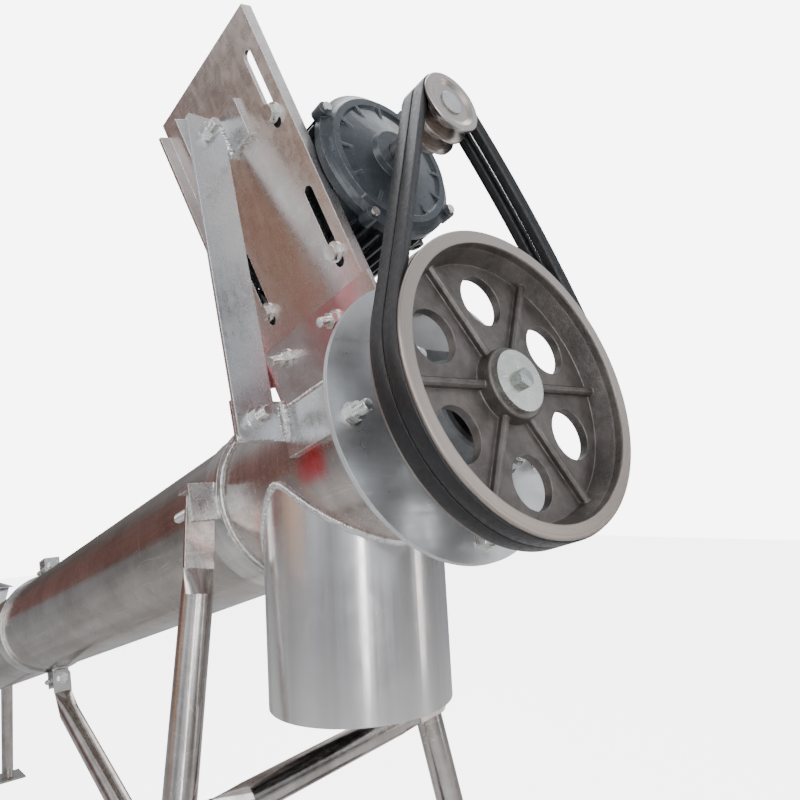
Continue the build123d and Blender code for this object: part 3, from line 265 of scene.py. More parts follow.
# edge_wear: where an outside edge is rubbed bright, and the softened normal of that edge
edge_wear, given = group("edge_wear", [("Vector", "Vector", None), ("Radius", "Float", 0.0012)],
                         [("Edges", "Float"), ("Rounded", "Vector")])
rounded = put(edge_wear, "ShaderNodeBevel", {"Radius": given["Radius"]}, samples=4)
facing = put(edge_wear, "ShaderNodeNewGeometry").outputs["Normal"]
alike = put(edge_wear, "ShaderNodeVectorMath", {0: rounded.outputs[0], 1: facing}, operation="DOT_PRODUCT")
broken = noise(edge_wear, given["Vector"], 160.0, 3.0)
worn = maths(edge_wear, "MULTIPLY", rise(edge_wear, alike.outputs["Value"], 0.99, 0.86),
             rise(edge_wear, broken, 0.25, 0.6))
put(edge_wear, "NodeGroupOutput", {"Edges": worn, "Rounded": rounded.outputs[0]})


def placed(tree, built, inputs):
    """Place a node group in a material with its own values."""
    return put(tree, "ShaderNodeGroup", inputs, node_tree=built).outputs


def overlay(material, mask, colour=None, rough=None, metallic=None):
    """Lay a new colour, roughness or metal over a finish where the mask is 1."""
    tree = material.node_tree
    shader = tree.nodes["finish"]
    if colour is not None:
        socket = shader.inputs["Base Color"]
        mix = put(tree, "ShaderNodeMix", {0: mask}, data_type="RGBA")
        tree.links.new(socket.links[0].from_socket, mix.inputs[6])
        mix.inputs[7].default_value = (*colour, 1)
        tree.links.new(mix.outputs[2], socket)
    for key, value in (("Roughness", rough), ("Metallic", metallic)):
        if value is None:
            continue
        socket = shader.inputs[key]
        mix = put(tree, "ShaderNodeMix", {0: mask, 3: value}, data_type="FLOAT")
        if socket.links:
            tree.links.new(socket.links[0].from_socket, mix.inputs[2])
        else:
            mix.inputs[2].default_value = socket.default_value
        tree.links.new(mix.outputs[0], socket)


def finish(name, light, dark, rough, metallic=1.0, stretch=(1, 1, 1), lines=400.0, cloud=0.06, line_depth=0.000007,
           edge=0.0012, edge_colour=None, specks=0.25, scratches=0.3, in_tube=True, coat=0.0, grain=0.0,
           grain_size=500.0, streaking=0.5):
    """A worked surface: two tones clouded together, brushed lines, scratches, specks and rubbed edges."""
    material = bpy.data.materials.new(name)
    material.use_nodes = True
    tree = material.node_tree
    tree.nodes.clear()
    place = put(tree, "ShaderNodeTexCoord").outputs["Object"]
    if in_tube:
        place = put(tree, "ShaderNodeMapping", {"Vector": place, "Location": TUBE_ORIGIN,
                                                "Rotation": (0, -TUBE_RISE, 0)}, vector_type="TEXTURE").outputs[0]
    place.node.name = "place"
    drawn = placed(tree, brushing, {"Vector": place, "Stretch": stretch, "Lines": lines})
    clouds = placed(tree, clouding, {"Vector": place, "Size": cloud})
    hair = placed(tree, scratching, {"Vector": place, "Density": 60.0})
    wear = placed(tree, edge_wear, {"Vector": place, "Radius": edge})
    tone = maths(tree, "MULTIPLY_ADD", drawn["Streaks"], streaking,
                 maths(tree, "MULTIPLY", clouds["Patches"], 1 - streaking))
    colour = put(tree, "ShaderNodeMix", {0: tone, 6: (*dark, 1), 7: (*light, 1)}, data_type="RGBA")
    shader = put(tree, "ShaderNodeBsdfPrincipled", {"Base Color": colour.outputs[2], "Metallic": metallic,
                                                    "Coat Weight": coat})
    shader.name = "finish"
    roughness = maths(tree, "MULTIPLY_ADD", clouds["Smudges"], rough * 0.32,
                      maths(tree, "MULTIPLY_ADD", drawn["Lines"], rough * 0.2, rough * 0.74))
    tree.links.new(roughness, shader.inputs["Roughness"])
    height = maths(tree, "MULTIPLY_ADD", hair["Scratches"], -scratches, drawn["Lines"])
    if grain:
        pits = noise(tree, place, grain_size, 3.0, 0.6)
        height = maths(tree, "MULTIPLY_ADD", pits, grain, height)
    bump = put(tree, "ShaderNodeBump", {"Strength": 1.0, "Distance": line_depth, "Height": height,
                                        "Normal": wear["Rounded"]})
    bump.name = "bump"
    tree.links.new(bump.outputs[0], shader.inputs["Normal"])
    put(tree, "ShaderNodeOutputMaterial", {0: shader.outputs[0]})
    brighter = edge_colour or [min(1.0, c * 1.35) for c in light]
    if scratches:
        overlay(material, maths(tree, "MULTIPLY", hair["Scratches"], min(1.0, scratches)), brighter, rough * 1.3)
    if specks:
        overlay(material, maths(tree, "MULTIPLY", clouds["Specks"], specks), brighter, rough * 1.5)
    overlay(material, maths(tree, "MULTIPLY", wear["Edges"], 0.8), brighter, rough * 0.8,
            1.0 if metallic < 1 and edge_colour else None)
    return material


def place_of(material):
    """The (x, y, z) sockets of a finish's own coordinates, metres."""
    tree = material.node_tree
    return put(tree, "ShaderNodeSeparateXYZ", {0: tree.nodes["place"].outputs[0]}).outputs


def wear_finish(material, *names):
    """Give CAD nodes a finish."""
    for name in names:
        node[name].data.materials.clear()
        node[name].data.materials.append(material)


tube_finish = finish("polished_tube", (0.50, 0.465, 0.435), (0.24, 0.205, 0.18), 0.23, stretch=(0.02, 1, 1),
                     lines=260, cloud=0.11, specks=0.35, scratches=0.5, streaking=0.42)
wear_finish(tube_finish, "main_tube", "intake_tube")

SEAM_AT = -38.0
weld_metal = finish("weld_metal", (0.93, 0.93, 0.92), (0.56, 0.53, 0.51), 0.22, lines=300, cloud=0.006, specks=0.6,
                    scratches=0.0, grain=1.4, grain_size=900.0, line_depth=0.00012, edge=0.0004, streaking=0.2)


def bead(name, points, outs, wide, body, seed, proud=0.6, closed=False, ripple=0.0024, rough=0.16):
    """Weld bead: a flattened round section drawn along points, heaped in ripples, bulging towards outs."""
    rng = random.Random(seed)
    lengths = [0.0]
    for first, second in zip(points, points[1:]):
        lengths.append(lengths[-1] + (second - first).length)
    total = lengths[-1] + ((points[0] - points[-1]).length if closed else 0.0)
    count = max(8, int(total / ripple * 5))
    heaps = [rng.uniform(-1, 1) for _ in range(int(total / ripple) + 3)]
    sides, made, faces, spot = 10, [], [], 0
    for step in range(count if closed else count + 1):
        run = total * step / count
        while spot < len(points) - 2 and lengths[spot + 1] < run:
            spot += 1
        first = points[spot]
        second = points[(spot + 1) % len(points)]
        share = min(1.0, max(0.0, (run - lengths[spot]) / max(1e-9, lengths[spot + 1] - lengths[spot])))
        if closed and run > lengths[-1]:
            first, second = points[-1], points[0]
            share = (run - lengths[-1]) / max(1e-9, total - lengths[-1])
        centre = first.lerp(second, share)
        out = outs[spot].lerp(outs[(spot + 1) % len(outs)], share).normalized()
        along = (second - first).normalized()
        across = along.cross(out).normalized()
        phase = run / ripple
        heap = heaps[int(phase)]
        swell = 1.0 + rough * (abs(sin(pi * phase)) - 0.5) + 0.12 * heap
        fade = 1.0 if closed else min(1.0, (min(run, total - run) / (wide * 0.6)) * 0.7 + 0.3)
        centre = centre + across * (wide * 0.08 * heap)
        for side in range(sides):
            angle = 2 * pi * side / sides
            lead = -along * (wide * 0.16 * cos(angle) ** 2)
            section = across * (cos(angle) * wide * 0.5) + out * (sin(angle) * wide * 0.5 * proud)
            made.append(centre + section * swell * fade + lead)
    rings = len(made) // sides
    for ring in range(rings if closed else rings - 1):
        for side in range(sides):
            a, b = ring * sides + side, ring * sides + (side + 1) % sides
            c, d = (a + sides) % len(made), (b + sides) % len(made)
            faces.append((a, c, d, b))
    if not closed:
        faces += [tuple(range(sides - 1, -1, -1)), tuple(range(len(made) - sides, len(made)))]
    piece = mesh_piece(name, made, faces, weld_metal)
    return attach(piece, body)


def ring_bead(name, along, radius, wide, lean=0.0, skip=None, seed=1, proud=0.7):
    """Bead round the tube; skip(angle) leaves out a stretch, and lean tips the bulge forwards."""
    stretch, runs = [], []
    for degree in range(0, 361, 3):
        angle = radians(degree)
        spoke = Vector((lean, cos(angle), sin(angle))).normalized()
        if skip and skip(degree):
            runs.append(stretch)
            stretch = []
            continue
        stretch.append((at(along, radius * cos(angle), radius * sin(angle)), TUBE_TURN @ spoke))
    runs.append(stretch)
    for number, run in enumerate(r for r in runs if len(r) > 2):
        bead(f"{name}_{number}", [p for p, _ in run], [o for _, o in run], wide * MM, "frame", seed + number, proud)


for name, start, end, angle, seed in (("main_tube_seam", -476, -1538, SEAM_AT, 11),
                                      ("intake_seam", -1604, -2662, 150, 12)):
    spoke = (cos(radians(angle)), sin(radians(angle)))
    out = TUBE_TURN @ Vector((0, *spoke))
    line = [at(start + (end - start) * step / 20, (TUBE_R - 0.5) * spoke[0], (TUBE_R - 0.5) * spoke[1])
            for step in range(21)]
    bead(name, line, [out] * 21, 0.0042, "frame", seed, 0.42)

# ---- head casing and discharge spout ----
# Short tube section of the same sheet that closes the head; the plumb spout is saddled to it and
# welded all round. The casing is warmer and hazier from the heat, the spout freshly brushed.
SPOUT_R = 108.5
SPOUT_A = -293.0


def heat_tint(material, near, strength=0.8):
    """Straw, red and blue oxide colours beside a weld; near is 1 on the weld and falls to 0 away from it."""
    tree = material.node_tree
    ragged = noise(tree, tree.nodes["place"].outputs[0], 45.0, 4.0, 0.6)
    spread = maths(tree, "MULTIPLY_ADD", ragged, 0.5, maths(tree, "SUBTRACT", near, 0.25))
    overlay(material, maths(tree, "MULTIPLY", rise(tree, spread, 0.3, 0.55), strength * 0.5), (0.55, 0.36, 0.22))
    overlay(material, maths(tree, "MULTIPLY", rise(tree, spread, 0.5, 0.72), strength * 0.8), (0.42, 0.20, 0.17))
    overlay(material, maths(tree, "MULTIPLY", rise(tree, spread, 0.72, 0.9), strength), (0.25, 0.25, 0.31))


def from_axis(tree, far, high):
    """Distance from an axis, from the two distances across it."""
    return maths(tree, "SQRT", maths(tree, "ADD", maths(tree, "MULTIPLY", far, far),
                                     maths(tree, "MULTIPLY", high, high)))


casing_finish = finish("warm_casing", (0.58, 0.535, 0.51), (0.40, 0.35, 0.325), 0.25, stretch=(1, 0.05, 0.05),
                       lines=240, cloud=0.08, specks=0.3, scratches=0.4, streaking=0.45)
spout_top = at(SPOUT_A, 0, 0)
tree = casing_finish.node_tree
spots = place_of(casing_finish)
from_seam = put(tree, "ShaderNodeVectorMath", {0: put(tree, "ShaderNodeTexCoord").outputs["Object"],
                                               1: (spout_top.x, 0, 0)}, operation="SUBTRACT")
level_x = put(tree, "ShaderNodeSeparateXYZ", {0: from_seam.outputs[0]}).outputs
reach = from_axis(tree, level_x[0], level_x[1])
below = rise(tree, spots[2], 0.03, -0.03)
from_weld = maths(tree, "ABSOLUTE", maths(tree, "SUBTRACT", reach, SPOUT_R * MM))
heat_tint(casing_finish, maths(tree, "MULTIPLY", rise(tree, from_weld, 0.022, 0.0), below), 0.35)
# painted red reflections below the brace ear and by the spout: each one's place in the tube frame, reach and strength
for spot, wide, strength in (((-0.214, -0.108, -0.013), 0.030, 0.8), ((-0.236, -0.108, -0.017), 0.024, 0.6),
                             ((-0.345, -0.1, -0.062), 0.034, 0.4)):
    glow = put(tree, "ShaderNodeVectorMath", {0: tree.nodes["place"].outputs[0], 1: spot}, operation="DISTANCE")
    # each spot paints a red reflection into the casing colour
    overlay(casing_finish, maths(tree, "MULTIPLY", rise(tree, glow.outputs["Value"], wide, wide * 0.2), strength),
            (0.78, 0.06, 0.075))
wear_finish(casing_finish, "head_casing")

spout_finish = finish("brushed_spout", (0.90, 0.895, 0.895), (0.72, 0.69, 0.68), 0.22, stretch=(1, 1, 0.012),
                      lines=230, cloud=0.14, specks=0.1, scratches=0.3, in_tube=False, streaking=0.7)
wear_finish(spout_finish, "discharge_spout")

slant, climb = cos(TUBE_RISE), sin(TUBE_RISE)
seam, seam_out = [], []
for degree in range(0, 360, 3):
    angle = radians(degree)
    ahead, aside = SPOUT_R * cos(angle), SPOUT_R * sin(angle)
    drop = (sqrt(TUBE_R ** 2 - aside ** 2) - ahead * climb) / slant
    point = spout_top + Vector((ahead, aside, -drop)) * MM
    flat_out = Vector((cos(angle), sin(angle), 0))
    seam.append(point + flat_out * 0.0012 - Vector((0, 0, 0.0008)))
    seam_out.append((flat_out - Vector((0, 0, 0.5))).normalized())
bead("spout_weld", seam, seam_out, 0.0078, "frame", 21, 0.62, closed=True, ripple=0.0034, rough=0.34)
WELD_R = 111.0
ring_bead("flange_weld", -118.6, WELD_R, 5.5, lean=-0.7, seed=31)


def in_spout(along):
    """Whether a point of a ring round the tube lies inside the spout."""
    def test(degree):
        angle = radians(degree)
        point = at(along, WELD_R * cos(angle), WELD_R * sin(angle)) - spout_top
        return point.z < 0 and (point.x ** 2 + point.y ** 2) ** 0.5 < (SPOUT_R + 5) * MM
    return test


FIRST_RING_WELD = -417.6
ring_bead("first_ring_weld", FIRST_RING_WELD, 110.8, 4.6, lean=0.7, skip=in_spout(FIRST_RING_WELD), seed=41)

# ---- end plate and its flange ----
# Two laser-cut stainless discs, bolted face to face; the outer one keeps its polished mill face,
# hazed in cloudy patches and lined by the polishing wheel.
disc_finish = finish("polished_disc", (0.80, 0.83, 0.86), (0.62, 0.63, 0.645), 0.36, metallic=0.74,
                     stretch=(1, 0.06, 1), lines=200, cloud=0.10, specks=0.1, scratches=0.2, streaking=0.35)
wear_finish(disc_finish, "end_plate", "head_flange")

# ---- flange bearings ----
# Cast square housings, grey enamel over sand-cast skin, each with a ball bearing insert: bright
# ground rings with a black seal between them.
housing_finish = finish("cast_housing_enamel", (0.30, 0.315, 0.33), (0.16, 0.165, 0.175), 0.5, metallic=0.25,
                        lines=120, cloud=0.03, grain=2.4, grain_size=520, line_depth=0.00022, edge=0.0016,
                        edge_colour=(0.62, 0.61, 0.60), scratches=0.15)
wear_finish(housing_finish, "bearing_housings")
ground_steel = finish("ground_steel", (0.80, 0.80, 0.80), (0.62, 0.61, 0.60), 0.16, lines=600, cloud=0.02,
                      scratches=0.2)
tree = ground_steel.node_tree
spots = place_of(ground_steel)
ring_reach = from_axis(tree, spots[1], spots[2])
seal = maths(tree, "MULTIPLY", rise(tree, ring_reach, 0.0288, 0.0292), rise(tree, ring_reach, 0.0402, 0.0398))
overlay(ground_steel, seal, (0.015, 0.015, 0.016), 0.55, 0.0)
wear_finish(ground_steel, "bearing_inserts")

# ---- flange rings, bands and clamps ----
# Turned rings and a 50 mm reinforcing band shrunk on each tube end and welded behind; a half
# clamp holds the two rings together.
ring_finish = finish("turned_ring", (0.74, 0.73, 0.71), (0.46, 0.43, 0.41), 0.22, stretch=(1, 0.05, 0.05), lines=420,
                     cloud=0.05, specks=0.3, scratches=0.4)
wear_finish(ring_finish, "flange_rings", "band_rings", "ring_clamps")
JOINTS = (-419.0, -1543.0)
for number, joint in enumerate(JOINTS):
    ring_bead(f"band_weld_{number}", joint - 56.8, 110.6, 3.6, lean=-0.7, seed=51 + number)

# ---- ears and studs ----
# Ears cut from 5 mm plate and welded on; long M12 studs clamp the legs through them, so much of
# each thread stands bare.
ear_finish = finish("welded_ear", (0.76, 0.76, 0.77), (0.64, 0.63, 0.625), 0.28, lines=220, cloud=0.05, specks=0.12,
                    scratches=0.25)
wear_finish(ear_finish, "stud_ears")
EAR_FRONT = -426.0
STAND_A = -2610.0
for side, word in ((-1, "near"), (1, "far")):
    for number, (along, foot) in enumerate(((EAR_FRONT, 113.2), (STAND_A, 110.0))):
        line = [at(along + 1.2, side * (foot + 0.8), high) for high in (-20, -8, 4, 16, 27)]
        bead(f"ear_weld_{word}_{number}", line, [TUBE_TURN @ Vector((0.7, side * 0.7, 0))] * 5, 0.006,
             "frame", 61 + number, 0.7, ripple=0.003, rough=0.3)
for side, word in ((1, "top"), (-1, "under")):
    line = [at(-1505.8, across, side * (TUBE_R + 1.2)) for across in (-17, -6, 6, 17)]
    bead(f"bridge_weld_{word}", line, [TUBE_TURN @ Vector((0.7, 0, side * 0.7))] * 4, 0.006, "frame", 66,
         0.7, ripple=0.003, rough=0.3)

zinc_finish = finish("zinc_plate", (0.88, 0.88, 0.85), (0.70, 0.70, 0.68), 0.2, lines=500, cloud=0.008, specks=0.1,
                     scratches=0.1, edge=0.0004, in_tube=False)
wear_finish(zinc_finish, "frame_bolts", "joint_studs", "bearing_bolts", "motor_foot_bolts", "motor_shield_screws")

BOLT_R = 6.0
COARSE = 1.75
threads = []


def thread(start, heading, length, radius=BOLT_R, pitch=COARSE):
    """Rolled thread round a bare length of stud: start and heading in the row frame, sizes in millimetres."""
    place = Matrix.Translation(start) @ Vector(heading).to_track_quat("Z", "Y").to_matrix().to_4x4()
    sides, steps, made, faces = 20, max(4, int(length / pitch * 6)), [], []
    for step in range(steps + 1):
        run = length * step / steps
        ease = min(1.0, run / pitch, (length - run) / pitch)
        for side in range(sides):
            turn = (run / pitch - side / sides) % 1.0
            crest = 1 - abs(2 * turn - 1)
            bulge = radius - 0.35 + (0.35 + 0.42) * crest * ease
            angle = 2 * pi * side / sides
            made.append(place @ (Vector((bulge * cos(angle), bulge * sin(angle), run)) * MM))
    for step in range(steps):
        for side in range(sides):
            a, b = step * sides + side, step * sides + (side + 1) % sides
            faces.append((a, b, b + sides, a + sides))
    faces += [tuple(range(sides - 1, -1, -1)), tuple(range(len(made) - sides, len(made)))]
    threads.append((made, faces))


def thread_piece(name, body):
    """Gather the threads made so far into one piece."""
    points, faces = [], []
    for made, shown in threads:
        faces += [tuple(i + len(points) for i in face) for face in shown]
        points += made
    threads.clear()
    piece = mesh_piece(name, points, faces, zinc_finish)
    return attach(piece, body)


STUD_OUT = 133.0
DISC_BOLTS_R = 132.0
ahead = TUBE_TURN @ Vector((1, 0, 0))
for angle in (90, 180, 270, -25):
    thread(at(-98.6, DISC_BOLTS_R * cos(radians(angle)), DISC_BOLTS_R * sin(radians(angle))), ahead, 15.0)
for high in (409.0, 44.0):
    thread(at(-227.6, -152.5, high), ahead, 11.0)
for side in (-1, 1):
    thread(at(-456.2, side * STUD_OUT, 0), -ahead, 43.2)
    thread(at(STAND_A - 30.2, side * STUD_OUT, 0), -ahead, 5.2)
    thread(at(-1512.5 - (0 if side > 0 else 5), 0, side * STUD_OUT), -ahead, 35.0)
    thread(at(-1575.3, 0, side * STUD_OUT), -ahead, 49.0)
LEAN = radians(15)
lean_up, lean_out = Vector((0, -sin(LEAN), cos(LEAN))), Vector((0, -cos(LEAN), -sin(LEAN)))


def on_plate(along, high, out):
    """Row-frame point of (along the tube, up the motor plate, out from it), millimetres."""
    return at(along, *(lean_up * high + lean_out * out).yz)


for along in (-300.0, -192.0):
    thread(on_plate(along, 157, 29.0), TUBE_TURN @ lean_out, 13.0)
thread_piece("stud_threads", "frame")

# ---- screw and its shafts ----
# Flighting of 4 mm plate on a 60 mm tube, dull from grain; ground stub shafts and square keys.
screw_finish = finish("grain_worn_steel", (0.52, 0.51, 0.50), (0.26, 0.25, 0.24), 0.33, lines=180, cloud=0.04,
                      specks=0.3, scratches=0.8)
wear_finish(screw_finish, "screw_flight", "screw_tube", "discharge_paddles")
shaft_finish = finish("ground_shaft", (0.70, 0.69, 0.68), (0.50, 0.49, 0.48), 0.2, stretch=(1, 0.05, 0.05), lines=700,
                      cloud=0.03)
wear_finish(shaft_finish, "stub_shafts", "drive_key", "motor_shaft", "motor_key", "axle_shaft")

# ---- big pulley ----
# Grey iron casting, two B grooves: sand-cast web and ribs left rough and glittering, the rim's
# faces and grooves turned on a lathe, a zinc washer and bolt over the hub.
PULLEY_R = 157.5
cast_iron = finish("cast_iron", (0.235, 0.212, 0.20), (0.13, 0.117, 0.11), 0.42, metallic=0.8, lines=160, cloud=0.03,
                   specks=0.8, grain=3.0, grain_size=760, line_depth=0.00016, edge=0.0018,
                   edge_colour=(0.40, 0.37, 0.35), scratches=0.1, streaking=0.15)


def turned_faces(material, axis_far, axis_high, inner, front, colour, second):
    """Lathe-turned look outside a radius or ahead of a plane: fine circular tool marks."""
    tree = material.node_tree
    spots = place_of(material)
    dy = maths(tree, "SUBTRACT", spots[1], axis_far * MM)
    dz = maths(tree, "SUBTRACT", spots[2], axis_high * MM)
    radius = from_axis(tree, dy, dz)
    mask = maths(tree, "MULTIPLY", rise(tree, radius, (inner - 0.15) * MM, (inner + 0.15) * MM),
                 rise(tree, spots[0], (front - 0.2) * MM, (front + 0.2) * MM))
    rings = put(tree, "ShaderNodeCombineXYZ", {0: radius, 1: spots[0]})
    tool = noise(tree, rings.outputs[0], 1900.0, 2.0, 0.5)
    wide_tool = noise(tree, rings.outputs[0], 330.0, 2.0, 0.5)
    bump = tree.nodes["bump"]
    rough_skin = bump.inputs["Height"].links[0].from_socket
    smooth_cut = put(tree, "ShaderNodeMix", {0: mask, 2: rough_skin, 3: maths(tree, "MULTIPLY", tool, 0.9)},
                     data_type="FLOAT")
    tree.links.new(smooth_cut.outputs[0], bump.inputs["Height"])
    overlay(material, mask, colour, 0.34, 1.0)
    overlay(material, maths(tree, "MULTIPLY", mask, rise(tree, tool, 0.4, 0.66)), second, 0.24)
    overlay(material, maths(tree, "MULTIPLY", maths(tree, "MULTIPLY", mask, 0.5), rise(tree, wide_tool, 0.45, 0.7)),
            [c * 0.75 for c in second])


turned_faces(cast_iron, 0, 0, 143.3, -200, (0.40, 0.345, 0.31), (0.50, 0.44, 0.40))
wear_finish(cast_iron, "drive_pulley")
washer_finish = finish("zinc_washer", (0.62, 0.65, 0.60), (0.46, 0.49, 0.45), 0.30, stretch=(1, 0.2, 1), lines=420,
                       cloud=0.02, specks=0.35, scratches=0.9, edge=0.0008)
wear_finish(washer_finish, "hub_washer")
hub_bolt_finish = finish("dulled_zinc_bolt", (0.50, 0.52, 0.49), (0.27, 0.28, 0.265), 0.28, lines=300, cloud=0.012,
                         specks=0.1, scratches=0.3, edge=0.0006)
wear_finish(hub_bolt_finish, "hub_bolt")

# ---- motor plate ----
# 5 mm plate folded at both edges, four slots; the mill face is streaked and speckled, with a painted
# brown-amber reflection up its middle and a painted red reflection towards the welded saddle.
plate_finish = finish("streaked_plate", (0.80, 0.765, 0.745), (0.62, 0.565, 0.54), 0.3, stretch=(1, 1, 0.05),
                      lines=110, cloud=0.07, specks=0.28, scratches=0.2, streaking=0.5)
tree = plate_finish.node_tree
spots = place_of(plate_finish)
wander = noise(tree, tree.nodes["place"].outputs[0], 14.0, 3.0)
off_middle = maths(tree, "ABSOLUTE", maths(tree, "ADD", spots[0],
                                           maths(tree, "MULTIPLY_ADD", wander, 0.05, 0.245 - 0.025)))
# painted brown-amber reflection up the middle of the plate
plate_amber_reflection = maths(tree, "MULTIPLY", rise(tree, off_middle, 0.075, 0.012), rise(tree, spots[2], 0.46, 0.27))
overlay(plate_finish, maths(tree, "MULTIPLY", plate_amber_reflection, 0.42), (0.58, 0.36, 0.25), 0.26)
# painted red reflection towards the foot of the plate, by the saddle
plate_red_reflection = maths(tree, "MULTIPLY", rise(tree, spots[2], 0.25, 0.14), rise(tree, wander, 0.3, 0.62))
overlay(plate_finish, maths(tree, "MULTIPLY", plate_red_reflection, 0.55), (0.66, 0.20, 0.20), 0.24)
wear_finish(plate_finish, "motor_plate")

# ---- saddle bracket ----
# Angle welded along the top of the casing; it carries the foot of the motor plate and has a painted
# red reflection towards its front end.
saddle_finish = finish("tinted_saddle", (0.70, 0.64, 0.63), (0.56, 0.44, 0.43), 0.25, lines=160, cloud=0.045,
                       specks=0.2, scratches=0.25, streaking=0.2)
tree = saddle_finish.node_tree
spots = place_of(saddle_finish)
# painted red reflection towards the saddle's front end, broken up by noise
saddle_red_reflection = maths(tree, "MULTIPLY", rise(tree, maths(tree, "ABSOLUTE", maths(tree, "ADD", spots[0], 0.19)), 0.075, 0.03),
              rise(tree, noise(tree, tree.nodes["place"].outputs[0], 11.0, 2.0), 0.3, 0.6))
overlay(saddle_finish, maths(tree, "MULTIPLY", saddle_red_reflection, 0.7), (0.72, 0.16, 0.17), 0.24)
wear_finish(saddle_finish, "saddle_bracket")
for number, (high, out, lean_to) in enumerate(((95.6, 52.2, (0.35, 1)), (110.0, 11.2, (1, -0.6)))):
    line = [on_plate(-342 + 224.5 * step / 12, high, out) for step in range(13)]
    bulge = TUBE_TURN @ (lean_up * lean_to[0] + lean_out * lean_to[1]).normalized()
    bead(f"saddle_weld_{number}", line, [bulge] * 13, 0.006, "frame", 71 + number, 0.7, ripple=0.003, rough=0.32)

# ---- brace bar and its ears ----
# 48 x 5 mm galvanised flat bar bolted between an ear on the casing and one on the plate; both
# ears are bent strip with a heavy hand-laid weld.
brace_finish = finish("galvanised_bar", (0.78, 0.80, 0.81), (0.68, 0.69, 0.70), 0.30, stretch=(1, 1, 0.08), lines=120,
                      cloud=0.06, specks=0.1, scratches=0.25, streaking=0.4)
wear_finish(brace_finish, "brace_bar")
wear_finish(ear_finish, "brace_ear_upper", "brace_ear_lower")
corner = [at(-243.6, -116.2, high) for high in (20, 30, 42, 54, 66)]
bead("lower_ear_weld", corner, [TUBE_TURN @ Vector((0.7, -0.7, 0))] * 5, 0.010, "frame", 81, 0.75, ripple=0.0042,
     rough=0.45)
upper_mid = 409.0 * lean_up.z - 152.5 * lean_up.y
corner = [on_plate(-243.4, upper_mid + rise_by, 18.2) for rise_by in (-28, -16, -4, 8, 21)]
bulge = TUBE_TURN @ (lean_out * 0.7 + Vector((0.7, 0, 0)))
bead("upper_ear_weld", corner, [bulge] * 5, 0.010, "frame", 83, 0.75, ripple=0.0042, rough=0.45)

# ---- motor ----
# Finned cast-iron motor in dark blue-grey enamel, bolted through the slots; shield, cowl and
# terminal box share the paint, which is chipped to metal on the sharp edges.
motor_finish = finish("motor_enamel", (0.052, 0.066, 0.080), (0.030, 0.038, 0.046), 0.36, metallic=0.0, lines=90,
                      cloud=0.05, specks=0.25, grain=1.2, grain_size=900, line_depth=0.00009, edge=0.0011,
                      edge_colour=(0.34, 0.37, 0.40), scratches=0.12, coat=0.25, streaking=0.1)
wear_finish(motor_finish, "motor_frame", "motor_front_shield", "motor_rear_shield", "motor_fan_cowl", "terminal_box",
            "terminal_lid")
core_finish = finish("core_steel", (0.45, 0.45, 0.46), (0.28, 0.28, 0.29), 0.4, stretch=(1, 0.04, 0.04), lines=900)
wear_finish(core_finish, "motor_stator", "motor_rotor")
wear_finish(ground_steel, "motor_bearings")
fan_finish = finish("moulded_black", (0.07, 0.07, 0.07), (0.045, 0.045, 0.045), 0.5, metallic=0.0, lines=60, grain=1.0,
                    grain_size=1200, line_depth=0.00005, scratches=0.1)
wear_finish(fan_finish, "motor_fan")

# ---- motor pulley ----
# Small two-groove pulley turned all over from bar, brown-grey with oil, keyed on the shaft.
MOTOR_FAR, MOTOR_HIGH = 9.4, 325.7
SMALL_R = 37.75
oiled_iron = finish("oiled_iron", (0.50, 0.445, 0.41), (0.34, 0.30, 0.275), 0.32, lines=200, cloud=0.02, specks=0.3,
                    scratches=0.3, edge=0.0009)
turned_faces(oiled_iron, MOTOR_FAR, MOTOR_HIGH, -5, -200, (0.47, 0.42, 0.39), (0.60, 0.545, 0.51))
wear_finish(oiled_iron, "motor_pulley")

# ---- V-belts ----
# Two B-section belts side by side, black wrapped rubber; the slack run on the far side bows out,
# the edges are rubbed grey and a pale cord shows along them.
BELT_FRONTS = (-12.5, -31.5)
BELT_TOP, BELT_DEEP = 1.5, 11.0
BELT_BOW = 9.0
BELT_FLARE = 0.3443
top_half = 17.0 / 2 + BELT_TOP * BELT_FLARE - 0.35
foot_half = top_half - BELT_DEEP * BELT_FLARE
belt_profile = [(-top_half, 0.6), (-top_half + 0.25, 1.2), (-top_half + 0.9, 1.5), (0, 1.58), (top_half - 0.9, 1.5),
                (top_half - 0.25, 1.2), (top_half, 0.6), (top_half - 2.0, -5.2), (foot_half, -9.1),
                (foot_half - 0.5, -9.5), (-foot_half + 0.5, -9.5), (-foot_half, -9.1), (-top_half + 2.0, -5.2)]
small_at = Vector((MOTOR_FAR, MOTOR_HIGH))
apart = small_at.length
to_small, aside = small_at / apart, Vector((-small_at.y, small_at.x)) / apart
dip = (PULLEY_R - SMALL_R) / apart
rimmed = sqrt(1 - dip * dip)
touch_near = to_small * dip + aside * rimmed
touch_far = to_small * dip - aside * rimmed
belt_path = []


def arc(centre, radius, start, end, count):
    """Points and outward directions round a pulley, from one direction to another."""
    first, sweep_by = atan2(start.y, start.x), atan2(end.y, end.x)
    turn = (sweep_by - first) % (2 * pi)
    for step in range(count):
        angle = first + turn * step / count
        spoke = Vector((cos(angle), sin(angle)))
        belt_path.append((centre + spoke * radius, spoke))


def run(start, end, spoke, bow, count):
    """Points down a free run, bowed out between the pulleys."""
    length = (end - start).length
    for step in range(count):
        share = step / count
        lift = 4 * share * (1 - share)
        slope = 4 * (1 - 2 * share) * bow / length
        ahead_now = (end - start) / length
        middle_now = start + (end - start) * share + spoke * bow * lift
        belt_path.append((middle_now, (spoke - ahead_now * slope).normalized()))


